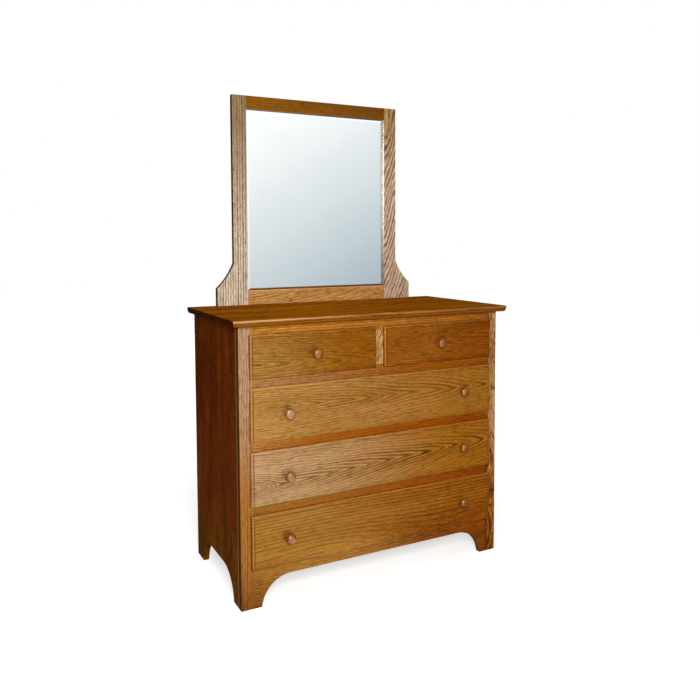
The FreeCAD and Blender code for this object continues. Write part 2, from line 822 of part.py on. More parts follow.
def mirror_glass():
    """The glass: a plate with a wide shallow bevel round its face."""
    half = half_sight + s.mirror_rabbet - s.panel_gap
    low = sight_low - s.mirror_rabbet + s.panel_gap
    high = sight_high + s.mirror_rabbet - s.panel_gap
    front = lay.mirror_front + s.mirror_lip
    plate = board("mirror_plate", -half, front + s.glass_bevel_depth, lay.top_surface + low,
                  half * 2, s.glass_thick - s.glass_bevel_depth, high - low, kept=False)
    bevel = doc.addObject("Part::Wedge", "mirror_bevel")
    limits = {
        "Xmin": s.glass_bevel_width, "Xmax": half * 2 - s.glass_bevel_width,
        "Zmin": s.glass_bevel_width, "Zmax": high - low - s.glass_bevel_width,
        "X2min": ZERO, "X2max": half * 2, "Z2min": ZERO, "Z2max": high - low,
        "Ymin": ZERO, "Ymax": s.glass_bevel_depth,
    }
    for name, size in limits.items():
        setattr(bevel, name, size.number)
        bind(bevel, name, size)
    place(bevel, -half, lay.frame_front + front, lay.top_surface + low)
    glass = doc.addObject("Part::Fuse", "mirror_glass")
    glass.Label = "mirror_glass"
    glass.Base = plate
    glass.Tool = bevel
    nodes.append(glass)


def mirror_back():
    """The backing board behind the glass, and the four strips that hold both in the rabbet."""
    half = half_sight + s.mirror_rabbet - s.panel_gap
    low = lay.top_surface + sight_low - s.mirror_rabbet + s.panel_gap
    height = sight_high - sight_low + s.mirror_rabbet * 2 - s.panel_gap * 2
    front = lay.mirror_front + s.mirror_lip + s.glass_thick
    board("mirror_backing", -half, front, low, half * 2, s.backing_thick, height)
    strip_front = front + s.backing_thick
    depth = lay.top_rear - strip_front
    strip = s.mirror_rabbet - s.panel_gap
    places = {
        "retainer_left": (-half, low, strip, height),
        "retainer_right": (half - strip, low, strip, height),
        "retainer_bottom": (-half + strip, low, (half - strip) * 2, strip),
        "retainer_top": (-half + strip, low + height - strip, (half - strip) * 2, strip),
    }
    group("mirror_retainers", [board(label, left, strip_front, bottom, width, depth, tall, kept=False)
                               for label, (left, bottom, width, tall) in places.items()])


def mirror_straps():
    """Two steel straps behind the posts, cranked under the top's rear overhang on to the case."""
    pieces = []
    for label, side in (("strap_left", LEFT), ("strap_right", RIGHT)):
        body = case_body(label, kept=False)
        middle = (half_mirror - s.post_width / 2) * side
        outline = new_sketch(body, label + "_edge", "YZ", middle - s.strap_width / 2)
        upper, lower = lay.top_rear, s.case_depth
        head = lay.top_surface + s.strap_above_top
        bend = lay.top_underside
        knee = bend - s.strap_crank
        tail = lay.top_surface - s.strap_below_top
        draw(outline, [
            (upper, head),
            (upper, bend),
            (lower, knee),
            (lower, tail),
            (lower + s.strap_thick, tail),
            (lower + s.strap_thick, knee),
            (upper + s.strap_thick, bend),
            (upper + s.strap_thick, head),
        ])
        pad(outline, s.strap_width)
        pieces.append(body)
    group("mirror_straps", pieces)


def mirror():
    mirror_post("mirror_post_left", LEFT)
    mirror_post("mirror_post_right", RIGHT)
    mirror_rail("mirror_rail_top", sight_high, s.mirror_height, sight_high)
    mirror_rail("mirror_rail_bottom", ZERO, sight_low, sight_low - s.mirror_rabbet)
    mirror_glass()
    mirror_back()
    mirror_straps()


def case():
    side_panel("side_panel_left", LEFT)
    side_panel("side_panel_right", RIGHT)
    outer_stile("stile_left", LEFT)
    outer_stile("stile_right", RIGHT)
    centre_stile()
    for label in RAILS:
        rail(label)
    top_board()
    back_and_rear_rails()
    runners_and_kickers()
    glue_blocks()


def check():
    """Stop if any object failed or any kept piece has no sound solid."""
    for item in doc.Objects:
        if "Invalid" in item.State or "Error" in item.State:
            raise ValueError(f"{item.Label} failed: {item.State}")
    for node in nodes:
        if node.Shape.isNull() or not node.Shape.isValid() or not node.Shape.Solids:
            raise ValueError(f"{node.Label} has no sound solid")


def export():
    os.makedirs("parts", exist_ok=True)
    for node in nodes:
        node.Shape.exportStep(f"parts/{node.Label}.step")


case()
drawers()
mirror()
doc.recompute()
check()
export()
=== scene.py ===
"""Looks of an oak dresser with a fixed mirror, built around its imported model.

Metres, +Z up, +X to the right of someone facing the drawers, -Y towards that person.
"""

from __future__ import annotations

import json
import logging
import math
from dataclasses import dataclass, field
from enum import Enum

import bpy
from mathutils import Matrix, Vector

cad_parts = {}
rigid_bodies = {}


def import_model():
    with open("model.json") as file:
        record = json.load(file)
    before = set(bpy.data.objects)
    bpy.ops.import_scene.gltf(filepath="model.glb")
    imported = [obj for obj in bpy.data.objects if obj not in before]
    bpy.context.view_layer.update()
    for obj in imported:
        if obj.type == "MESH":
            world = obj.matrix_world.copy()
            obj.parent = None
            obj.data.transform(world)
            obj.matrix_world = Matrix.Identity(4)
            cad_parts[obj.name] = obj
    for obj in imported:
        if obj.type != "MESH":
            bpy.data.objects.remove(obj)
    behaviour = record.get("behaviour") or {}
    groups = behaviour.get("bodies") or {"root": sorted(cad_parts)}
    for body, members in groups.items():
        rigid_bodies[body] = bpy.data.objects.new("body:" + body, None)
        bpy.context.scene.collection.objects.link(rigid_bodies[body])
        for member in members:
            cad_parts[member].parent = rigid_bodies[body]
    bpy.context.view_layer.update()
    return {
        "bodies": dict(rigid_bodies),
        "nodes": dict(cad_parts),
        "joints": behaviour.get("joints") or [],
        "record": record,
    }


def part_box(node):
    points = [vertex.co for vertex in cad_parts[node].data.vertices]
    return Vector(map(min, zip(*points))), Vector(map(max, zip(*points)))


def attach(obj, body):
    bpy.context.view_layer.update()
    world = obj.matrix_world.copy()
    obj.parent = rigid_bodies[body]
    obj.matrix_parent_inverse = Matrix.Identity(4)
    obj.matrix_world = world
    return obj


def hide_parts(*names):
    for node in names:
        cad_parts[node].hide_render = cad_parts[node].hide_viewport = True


LOG = logging.getLogger("dresser")
MM = 0.001
EASE = 0.3 * MM
Colour = tuple[float, float, float]
Place = tuple[float, float, float]
Pair = tuple[float, float]
Stops = tuple[Pair, ...]


def stain(*screen: int) -> Colour:
    """Turn a screen colour, three shares of 255, into the linear colour that a shader takes."""
    shares = (share / 255 for share in screen)
    return tuple(share / 12.92 if share <= 0.04045 else ((share + 0.055) / 1.055) ** 2.4 for share in shares)


class Lay(Enum):
    """The axes along a board's grain, across its face and through its thickness."""

    ACROSS = ("X", "Z", "Y")
    UPRIGHT = ("Z", "X", "Y")
    SIDE = ("Z", "Y", "X")
    FLAT = ("X", "Y", "Z")
    DEEP = ("Y", "Z", "X")
    DEEP_FLAT = ("Y", "X", "Z")


@dataclass(frozen=True)
class Value:
    """A number or colour that a graph works out at each point, open to plain arithmetic."""

    graph: Graph
    socket: bpy.types.NodeSocket

    def __add__(self, other: Value | float) -> Value:
        """Add a number."""
        return self.graph.calc("ADD", self, other)

    def __sub__(self, other: Value | float) -> Value:
        """Take a number away."""
        return self.graph.calc("SUBTRACT", self, other)

    def __rsub__(self, other: float) -> Value:
        """Take this away from a number."""
        return self.graph.calc("SUBTRACT", other, self)

    def __mul__(self, other: Value | float) -> Value:
        """Multiply by a number."""
        return self.graph.calc("MULTIPLY", self, other)

    def __truediv__(self, other: Value | float) -> Value:
        """Divide by a number."""
        return self.graph.calc("DIVIDE", self, other)

    def __abs__(self) -> Value:
        """Drop the sign."""
        return self.graph.calc("ABSOLUTE", self)

    def split(self) -> tuple[Value, ...]:
        """Split a vector or colour into its three numbers."""
        return tuple(Value(self.graph, part) for part in self.graph.node("SeparateXYZ", {0: self}).outputs)

    def span(self, low: float, high: float, first: float = 0.0, last: float = 1.0) -> Value:
        """Map the number smoothly from one span to another.

        Args:
            low: Where the first result is reached.
            high: Where the last result is reached.
            first: The result at the low end.
            last: The result at the high end.

        Returns:
            The mapped number.
        """
        inputs = {"Value": self, "From Min": low, "From Max": high, "To Min": first, "To Max": last}
        node = self.graph.node("MapRange", inputs, interpolation_type="SMOOTHSTEP")
        return Value(self.graph, node.outputs[0])

    def ramp(self, stops: Stops) -> Value:
        """Give the number a profile of straight stretches.

        Args:
            stops: Pairs of a place from 0 to 1 and the level there.

        Returns:
            The level.
        """
        node = self.graph.node("ValToRGB", {"Fac": self})
        elements = node.color_ramp.elements
        while len(elements) < len(stops):
            elements.new(0.5)
        for element, (place, level) in zip(elements, stops):
            element.position = place
            element.color = (level, level, level, 1.0)
        return Value(self.graph, node.outputs["Color"])


class Graph:
    """A node tree of a material or the world, with one method for each kind of step that a finish takes."""

    def __init__(self, name: str) -> None:
        """Start a material with a Principled shader.

        Args:
            name: The material's name.
        """
        self.material = bpy.data.materials.new(name)
        self.material.use_nodes = True
        self.tree = self.material.node_tree
        self.tree.nodes.clear()
        self.shader = self.node("BsdfPrincipled")
        self.node("OutputMaterial", {"Surface": Value(self, self.shader.outputs["BSDF"])})

    @classmethod
    def of(cls, owner: bpy.types.Material | bpy.types.World) -> Graph:
        """Wrap the node tree of a material that is made already, or of the world.

        Args:
            owner: The material or world.

        Returns:
            Its graph.
        """
        graph = cls.__new__(cls)
        graph.material, graph.tree = owner, owner.node_tree
        graph.shader = next((node for node in graph.tree.nodes if node.type == "BSDF_PRINCIPLED"), None)
        return graph

    def put(self, target: bpy.types.NodeSocket, value: object) -> None:
        """Link a value to an input, or set a plain number or colour on it.

        Args:
            target: The input socket.
            value: A value, number or colour.
        """
        if isinstance(value, Value):
            self.tree.links.new(value.socket, target)
        elif target.type == "RGBA":
            target.default_value = (*value, 1.0)
        else:
            target.default_value = value

    def node(self, kind: str, inputs: dict[str | int, object] | None = None,
             **settings: str) -> bpy.types.Node:
        """Add one node.

        Args:
            kind: Its type, without what all shader nodes' types start with.
            inputs: What its inputs take, by name or number.
            settings: Its own settings.

        Returns:
            The node.
        """
        node = self.tree.nodes.new("ShaderNode" + kind)
        for name, setting in settings.items():
            setattr(node, name, setting)
        for name, value in (inputs or {}).items():
            self.put(node.inputs[name], value)
        return node

    def calc(self, operation: str, *terms: Value | float) -> Value:
        """Work out one number from others by a Math node."""
        return Value(self, self.node("Math", dict(enumerate(terms)), operation=operation).outputs[0])

    def vector(self, *parts: Value | float) -> Value:
        """Join three numbers into a vector or colour."""
        return Value(self, self.node("CombineXYZ", dict(enumerate(parts))).outputs[0])

    def place(self, output: str = "Object") -> tuple[Value, ...]:
        """The three parts of a point's place in the part's own frame, or with "Normal" of its facing."""
        return Value(self, self.node("TexCoord").outputs[output]).split()

    def ray(self, kind: str) -> Value:
        """Whether the light that is worked out comes along one kind of ray."""
        return Value(self, self.node("LightPath").outputs[f"Is {kind} Ray"])

    def noise(self, place: tuple[Value | float, ...], detail: float = 2.0, rough: float = 0.5,
              scale: float = 1.0, output: str = "Fac") -> Value:
        """Add a Noise Texture.

        Args:
            place: The three parts of the point to read it at.
            detail: Octaves.
            rough: How strong the finer octaves are.
            scale: Features per unit of the place.
            output: Fac for one number about 0.5, or Color for three.

        Returns:
            The noise.
        """
        inputs = {"Vector": self.vector(*place), "Scale": scale, "Detail": detail, "Roughness": rough}
        return Value(self, self.node("TexNoise", inputs).outputs[output])

    def mix(self, share: Value | float, first: object, second: object, kind: str = "MIX") -> Value:
        """Blend two colours.

        Args:
            share: How much of the second shows.
            first: The colour at share 0.
            second: The colour that is blended in.
            kind: Blender's name of the way to blend.

        Returns:
            The blended colour.
        """
        node = self.node("Mix", {}, data_type="RGBA", blend_type=kind)
        for index, value in ((0, share), (6, first), (7, second)):
            self.put(node.inputs[index], value)
        return Value(self, node.outputs[2])

    def shade(self, levels: dict[str, object]) -> None:
        """Set or link inputs of the shader, by name."""
        for name, value in levels.items():
            self.put(self.shader.inputs[name], value)

    def recolour(self, share: Value, colour: Colour, kind: str = "MIX") -> None:
        """Blend a colour over the base colour.

        Args:
            share: Where, and how much of it shows.
            colour: The colour.
            kind: Blender's name of the way to blend.
        """
        base = Value(self, self.shader.inputs["Base Color"].links[0].from_socket)
        self.shade({"Base Color": self.mix(share, base, colour, kind)})

    def bump(self, height: Value, depth: float, strength: float) -> None:
        """Tilt the shader's normal by a height.

        Args:
            height: The height, from 0 to 1.
            depth: What a height of 1 measures, in metres.
            strength: How much of the tilt shows.
        """
        node = self.node("Bump", {"Height": height, "Distance": depth, "Strength": strength})
        self.shade({"Normal": Value(self, node.outputs["Normal"])})


@dataclass(frozen=True)
class Drift:
    """A slow change of colour along a board, in metres from its middle."""

    tint: Colour
    start: float
    end: float


@dataclass(frozen=True)
class Figure:
    """How a board was cut from its log, which sets the lines on its face.

    Lengths are in metres, counted from the middle of the board's face. With vee the rings come to points
    on the heart's line, sharper the larger it is. Within heart of that line they are darker than elsewhere,
    and bold widens the line at each ring's start.
    """

    pith_across: float = 0.0
    pith_depth: float = 0.06
    slope: float = 0.0
    rise: float = 0.05
    vee: float = 0.0
    heart: float = 0.0
    aloof: float = 0.45
    bold: float = 1.0
    burst: float = 0.0
    burst_at: float = 0.0
    sway: float = 0.0
    sway_length: float = 0.5
    ring: float = 0.008
    waver: float = 0.006
    waver_length: float = 0.30
    tremble: float = 0.0012
    seed: float = 0.0
    drift: Drift | None = None


class Cut(Graph):
    """The graph of one board, which knows each point's place along, across and through the board."""

    tremble_rate: Pair = (34.0, 90.0)
    waver_shape: float = 5.0
    heart_width: float = 0.003
    least_grade: float = 0.12

    def __init__(self, name: str, middle: Vector, lay: Lay, figure: Figure) -> None:
        """Start the board's material.

        Args:
            name: The material's name.
            middle: The middle of the board's face, which the figure counts from.
            lay: Which way the grain runs.
            figure: How the board was cut.
        """
        super().__init__(name)
        self.figure = figure
        place, centre = dict(zip("XYZ", self.place())), dict(zip("XYZ", middle))
        self.along, self.across, self.depth = (place[axis] - centre[axis] for axis in lay.value)

    def rings(self) -> tuple[Value, Value, Value | float]:
        """Count the growth rings from the pith to each point.

        Returns:
            The number of rings, with its fraction, how squarely the face cuts them, and how dark they are.
        """
        cut, along, across, depth = self.figure, self.along, self.across, self.depth
        stretch = 1.0 / cut.waver_length
        wide = stretch * self.waver_shape
        swing_place = (along * stretch, across * wide, depth * wide + cut.seed)
        swing_across, swing_depth, _ = self.noise(swing_place, rough=0.45, output="Color").split()
        long, short = self.tremble_rate
        tremble = self.noise((along * long, across * short, depth * short + cut.seed)) - 0.5
        aside = across + (along * -cut.slope - cut.pith_across) + (swing_across - 0.5) * (cut.waver * 2)
        below = along * cut.rise + cut.pith_depth + depth + (swing_depth - 0.5) * (cut.waver * 3)
        if cut.burst:
            below = self.calc("MINIMUM", along - cut.burst_at, 0.0) * cut.burst + below
        if cut.sway:
            below = self.calc("SINE", along * (math.tau / cut.sway_length)) * cut.sway + below
        width = self.calc("SQRT", aside * aside + self.heart_width ** 2)
        reach = self.calc("SQRT", below * below + (width * (cut.vee * 2) + aside * aside))
        square = self.calc("MINIMUM", (abs(aside) + cut.vee) / reach, 1.0)
        grade = self.calc("MAXIMUM", square, self.least_grade + cut.rise * 0.5)
        near = width.span(cut.heart * 0.5, cut.heart * 1.3, 1.0, cut.aloof) if cut.heart else 1.0
        return (reach + tremble * (cut.tremble * 2)) / cut.ring, grade, near

    def each(self, rings: Value, width: Value) -> tuple[Value, Value]:
        """Look at each ring by itself.

        Args:
            rings: The number of rings from the pith.
            width: How much of a ring its line takes.

        Returns:
            How far through its line each point is, and a random number for the whole ring.
        """
        node = self.node("TexWhiteNoise", {"W": self.calc("FLOOR", rings)}, noise_dimensions="1D")
        return self.calc("FRACT", rings) / width, Value(self, node.outputs["Value"])


@dataclass(frozen=True)
class WoodTone:
    """The colours of one stained wood, and how strongly its lines, streaks and pores show."""

    light: Colour
    deep: Colour
    line: Colour
    line_share: float = 0.8
    streak_share: float = 0.3
    pore_share: float = 0.4
    bloom: float = 1.0

    def pale(self) -> Colour:
        """The colour of the palest streaks, milkier where the wood blooms through its stain."""
        red, green, blue = self.light
        return red * 1.1 + 0.05 * self.bloom, green * 1.14 + 0.07 * self.bloom, blue * 1.2 + 0.05 * self.bloom

    def dark(self) -> Colour:
        """The colour inside a pore."""
        return tuple(channel * 0.4 for channel in self.line)


@dataclass(frozen=True)
class WoodFinish:
    """Wood under lacquer or bare, with growth rings cut by each surface as in a real board.

    A rate gives the features per metre along the grain and across it, for streaks per ring and per metre.
    A span says between which numbers of a noise its marks come in.
    """

    tone: WoodTone
    roughness: float = 0.30
    coat: float = 0.0
    coat_roughness: float = 0.15
    shine: Colour = (1.0, 0.65, 0.06)
    shine_level: float = 1.0
    olive: Colour = (0.95, 1.03, 0.86)
    rosy: Colour = (1.04, 0.95, 1.0)
    pore_depth: float = 0.0003
    early: Stops = ((0.0, 0.0), (0.05, 1.0), (0.20, 0.9), (0.32, 0.2), (0.45, 0.0), (1.0, 0.0))
    late: Stops = ((0.0, 0.0), (0.30, 0.0), (0.42, 1.0), (0.60, 0.4), (0.9, 0.0), (1.0, 0.0))
    fine_lines: float = 3.0
    streak_rate: Pair = (2.1, 13.0)
    fleck_rate: Pair = (40.0, 290.0)
    pore_rate: Pair = (70.0, 800.0)
    cloud_rate: Pair = (2.2, 14.0)
    flush_rate: Pair = (9.0, 60.0)
    flush_seed: float = 7.0
    pore_span: Pair = (0.50, 0.64)
    cloud_span: Pair = (0.34, 0.66)
    flush_span: Pair = (0.36, 0.64)
    pale_span: Pair = (0.48, 0.34)
    dark_span: Pair = (0.52, 0.67)
    held_span: tuple[float, ...] = (0.36, 0.54, 0.65, 1.0)
    pore_dulling: float = 0.2
    line_depth: float = 0.35

    def material(self, name: str, middle: Vector, lay: Lay, figure: Figure) -> bpy.types.Material:
        """Make the finish for one board.

        Args:
            name: The material's name.
            middle: The middle of the board's face.
            lay: Which way the grain runs.
            figure: How the board was cut.

        Returns:
            The material.
        """
        cut, tone = Cut(name, middle, lay, figure), self.tone
        rings, grade, near = cut.rings()
        streak_place = (rings * self.streak_rate[0], cut.along * self.streak_rate[1], figure.seed)
        streak = cut.noise(streak_place, rough=0.55)
        fleck = self.stretched(cut, self.fleck_rate, 2.0, 0.55)
        pores = self.stretched(cut, self.pore_rate, 1.0, 0.4).span(*self.pore_span)
        line, late = self.lines(cut, rings, grade, streak)
        line = line * near
        cloud = self.patches(cut, self.cloud_rate, figure.seed, 3.0).span(*self.cloud_span)
        colour = cut.mix(cloud, tone.light, tone.deep)
        colour = cut.mix(late * (tone.line_share * 0.5), colour, tone.pale())
        streak_share = grade.span(0.1, 0.6, 0.4, 1.0) * tone.streak_share
        for value, share in ((streak, streak_share), (fleck, tone.pore_share)):
            colour = cut.mix(value.span(*self.pale_span) * share, colour, tone.pale())
            colour = cut.mix(value.span(*self.dark_span) * share, colour, tone.line)
        flush = self.patches(cut, self.flush_rate, figure.seed + self.flush_seed, 2.0).span(*self.flush_span)
        colour = cut.mix(1.0, colour, cut.mix(flush, self.olive, self.rosy), "MULTIPLY")
        colour = cut.mix(line * tone.line_share, colour, tone.line)
        pore_share = pores * (line * 0.6 + 0.4)
        cut.shade({"Base Color": cut.mix(pore_share * tone.pore_share, colour, tone.dark()),
                   "Roughness": pore_share * self.pore_dulling + self.roughness, "Coat Weight": self.coat,
                   "Coat Roughness": self.coat_roughness, "Specular Tint": self.shine,
                   "Specular IOR Level": self.shine_level})
        if figure.drift:
            cut.recolour(cut.along.span(figure.drift.start, figure.drift.end), figure.drift.tint, "MULTIPLY")
        cut.bump(1.0 - (line * self.line_depth + pore_share), self.pore_depth, 0.5)
        return cut.material

    def stretched(self, cut: Cut, rate: Pair, detail: float, rough: float) -> Value:
        """Small marks stretched along the grain: flecks or pores.

        Args:
            cut: The board's graph.
            rate: Marks per metre along the grain and across it.
            detail: Octaves.
            rough: How strong the finer octaves are.

        Returns:
            A number about 0.5, higher where the wood is darker.
        """
        long, short = rate
        place = (cut.along * long + cut.figure.seed, cut.across * short, cut.depth * short)
        return cut.noise(place, detail, rough)

    def patches(self, cut: Cut, rate: Pair, seed: float, detail: float) -> Value:
        """Soft patches of another shade, as deep as the board.

        Args:
            cut: The board's graph.
            rate: Patches per metre along the grain and across it.
            seed: What sets these patches apart from others.
            detail: Octaves.

        Returns:
            A number about 0.5.
        """
        return cut.noise((cut.along * rate[0], cut.across * rate[1], cut.depth + seed), detail)

    def lines(self, cut: Cut, rings: Value, grade: Value, streak: Value) -> tuple[Value, Value]:
        """The dark line at the start of each ring, finer ones between, and the pale wood after it.

        Args:
            cut: The board's graph.
            rings: The number of rings from the pith.
            grade: The lines' width, smaller where the face hardly cuts the rings.
            streak: The soft streaks, where lines fade in and out.

        Returns:
            The strengths of the dark lines and of the pale wood, from 0 to 1.
        """
        part, chance = cut.each(rings, grade * cut.figure.bold)
        year = chance * 0.5 + 0.5
        fine_part, fine_chance = cut.each(rings * self.fine_lines, grade)
        between = fine_part.ramp(self.early) * (fine_chance * 0.6)
        dark = cut.calc("MAXIMUM", part.ramp(self.early) * year, between)
        return dark * streak.span(*self.held_span), part.ramp(self.late) * year


@dataclass(frozen=True)
class PlywoodFinish:
    """Bare plywood: a quiet face veneer, and plies that show on the cut edges."""

    face: WoodFinish
    ply: float = 1.3 * MM
    glue_span: Pair = (0.42, 0.58)
    edge_span: Pair = (0.3, 0.7)

    def material(self, name: str, middle: Vector, lay: Lay, figure: Figure) -> bpy.types.Material:
        """Make the finish for one sheet.

        Args:
            name: The material's name.
            middle: The middle of the sheet's face.
            lay: Which way the face veneer runs.
            figure: How the veneer was cut.

        Returns:
            The material.
        """
        material = self.face.material(name, middle, lay, figure)
        graph = Graph.of(material)
        thick = "XYZ".index(lay.value[2])
        layer = graph.calc("FRACT", graph.place()[thick] / (self.ply * 2))
        plies = graph.mix(layer.span(*self.glue_span), self.face.tone.light, self.face.tone.line)
        graph.recolour(abs(graph.place("Normal")[thick]).span(*self.edge_span, 1.0, 0.0), plies)
        return material


@dataclass(frozen=True)
class MirrorFinish:
    """Silvered glass: an even, very slightly green mirror with a trace of dust."""

    colour: Colour = (0.93, 0.955, 0.96)
    hazed: Colour = (0.915, 0.942, 0.948)
    roughness: float = 0.015
    haze_roughness: float = 0.02
    haze_scale: float = 7.0
    haze_span: Pair = (0.35, 0.75)

    def material(self, name: str) -> bpy.types.Material:
        """Make the finish.

        Args:
            name: The material's name.

        Returns:
            The material.
        """
        graph = Graph(name)
        haze = graph.noise(graph.place(), 4.0, scale=self.haze_scale)
        graph.shade({"Base Color": graph.mix(haze.span(*self.haze_span), self.colour, self.hazed),
                     "Roughness": haze * self.haze_roughness + self.roughness, "Metallic": 1.0})
        return graph.material


@dataclass(frozen=True)
class MetalFinish:
    """Rolled steel or a zinc-plated screw: streaked along its length, with duller spots."""

    colour: Colour
    dull: Colour
    roughness: float = 0.38
    streak: float = 900.0
    streak_length: float = 30.0
    streak_depth: float = 0.06 * MM
    streak_roughness: float = 0.25
    spot_scale: float = 60.0
    spot_span: Pair = (0.45, 0.7)
    spot_share: float = 0.7

    def material(self, name: str) -> bpy.types.Material:
        """Make the finish.

        Args:
            name: The material's name.

        Returns:
            The material.
        """
        graph = Graph(name)
        x, y, z = graph.place()
        streaks = graph.noise((x * self.streak, y * self.streak, z * (self.streak / self.streak_length)))
        spots = graph.noise((x, y, z), 4.0, scale=self.spot_scale).span(*self.spot_span)
        graph.shade({"Base Color": graph.mix(spots * self.spot_share, self.colour, self.dull),
                     "Metallic": 1.0, "Roughness": streaks * self.streak_roughness + self.roughness})
        graph.bump(streaks, self.streak_depth, 0.3)
        return graph.material


def oak(light: tuple[int, ...], deep: tuple[int, ...], line: tuple[int, ...], bloom: float = 1.0,
        line_share: float = 0.8, streak_share: float = 0.3, pore_share: float = 0.6,
        **gloss: object) -> WoodFinish:
    """Describe one shade of the stained and lacquered oak, from screen colours.

    Args:
        light: The paler body colour.
        deep: The deeper body colour.
        line: The colour of the lines between rings.
        bloom: How milky the palest streaks are.
        line_share: How strongly the lines show.
        streak_share: How strongly the soft streaks show.
        pore_share: How strongly the pores show.
        gloss: Roughness, coat and shine, where they differ from the usual.

    Returns:
        The finish.
    """
    colours = (stain(*colour) for colour in (light, deep, line))
    return WoodFinish(WoodTone(*colours, line_share, streak_share, pore_share, bloom), **gloss)


GOLDEN = oak((170, 121, 72), (152, 100, 47), (94, 40, 2), 0.9, 0.9, 0.3, 0.5)
GOLDEN_PALE = oak((184, 147, 119), (163, 121, 88), (74, 31, 4), 0.8, 1.0, 0.3, 0.45)
HONEY = oak((152, 96, 40), (129, 68, 16), (72, 27, 1), 0.6, 1.0, 0.25, 0.5)
AMBER = oak((152, 106, 54), (130, 78, 27), (76, 30, 1), 0.8, 1.0, 0.45)
AMBER_DEEP = oak((156, 87, 13), (130, 62, 4), (74, 27, 1), 0.25, 1.0, 0.45)
FRAME_OAK = oak((184, 114, 39), (162, 87, 15), (88, 32, 1), 0.9, 0.9)
RAIL_OAK = oak((164, 114, 78), (142, 88, 54), (88, 38, 6), 0.9, 0.9)
RAIL_PALE = oak((182, 134, 98), (158, 100, 62), (88, 36, 4), 1.0, 1.0)
RUSSET = oak((135, 64, 20), (113, 46, 8), (80, 30, 1), 0.6, 1.0)
APRON_OAK = oak((158, 96, 38), (132, 67, 14), (72, 27, 1), 0.7, 1.0)
STILE_OAK = oak((178, 143, 128), (153, 113, 93), (92, 48, 20), 0.9, 0.9)
POST_OAK = oak((250, 228, 206), (232, 202, 176), (60, 29, 10), 1.0, 1.0, 0.3, shine=(1.0, 0.9, 0.75))
POST_WARM = oak((236, 202, 173), (219, 179, 148), (64, 28, 8), 1.0, 1.0, 0.3, shine=(1.0, 0.9, 0.75))
BLOTCHED_OAK = oak((210, 160, 108), (140, 84, 34), (30, 6, 0), 0.8, 1.0, 0.9)
SIDE_OAK = oak((152, 90, 2), (107, 52, 0), (40, 9, 0), 0.0, 0.85, 0.5, shine_level=0.1, roughness=0.5)
TOP_OAK = oak((158, 94, 16), (127, 65, 9), (68, 26, 0), 0.0, 0.9, roughness=0.65, shine_level=0.0)
MIRROR_TOP_OAK = oak((128, 63, 5), (104, 46, 1), (58, 20, 0), 0.15, 0.9)
MIRROR_LOW_OAK = oak((214, 160, 98), (186, 120, 52), (92, 36, 2), 0.9, 1.0)
KNOB_GLOSS = dict(line_share=0.6, streak_share=0.4, roughness=0.34, coat=0.6, coat_roughness=0.05,
                  shine=(1.0, 0.7, 0.3))
KNOB_PALE = oak((174, 132, 88), (152, 104, 62), (96, 48, 16), 0.5, **KNOB_GLOSS)
KNOB_OLIVE = oak((148, 110, 48), (124, 86, 30), (76, 38, 8), 0.3, **KNOB_GLOSS)
KNOB_RED = oak((166, 82, 38), (140, 60, 22), (84, 28, 6), 0.3, **KNOB_GLOSS)
KNOB_TAN = oak((156, 90, 28), (132, 68, 12), (84, 32, 3), 0.3, **KNOB_GLOSS)
BARE = dict(roughness=0.6, shine=(1.0, 1.0, 1.0), shine_level=0.4)
BOX_WOOD = oak((222, 196, 156), (208, 178, 134), (180, 146, 102), 0.6, 0.5, 0.3, 0.2, roughness=0.5,
               shine=(1.0, 1.0, 1.0), shine_level=0.5)
INNER_WOOD = oak((206, 174, 128), (190, 154, 106), (150, 112, 68), 0.6, 0.5, 0.3, 0.3, **BARE)
PLYWOOD = PlywoodFinish(oak((214, 182, 134), (200, 164, 112), (168, 128, 80), 0.6, 0.45, 0.3, 0.3, **BARE))
MIRROR_GLASS = MirrorFinish()
STEEL = MetalFinish(colour=(0.42, 0.42, 0.43), dull=(0.26, 0.25, 0.25))
SCREW_STEEL = MetalFinish(colour=(0.62, 0.61, 0.58), dull=(0.44, 0.43, 0.41), roughness=0.28)


class Accent:
    """Marks painted on one piece's edges: mostly painted shade and painted highlight, with some real stain.
    """

    def apply(self, graph: Graph, node: str) -> None:
        """Colour the marks on a material.

        Args:
            graph: The material's graph.
            node: The CAD node that wears it.
        """
        raise NotImplementedError


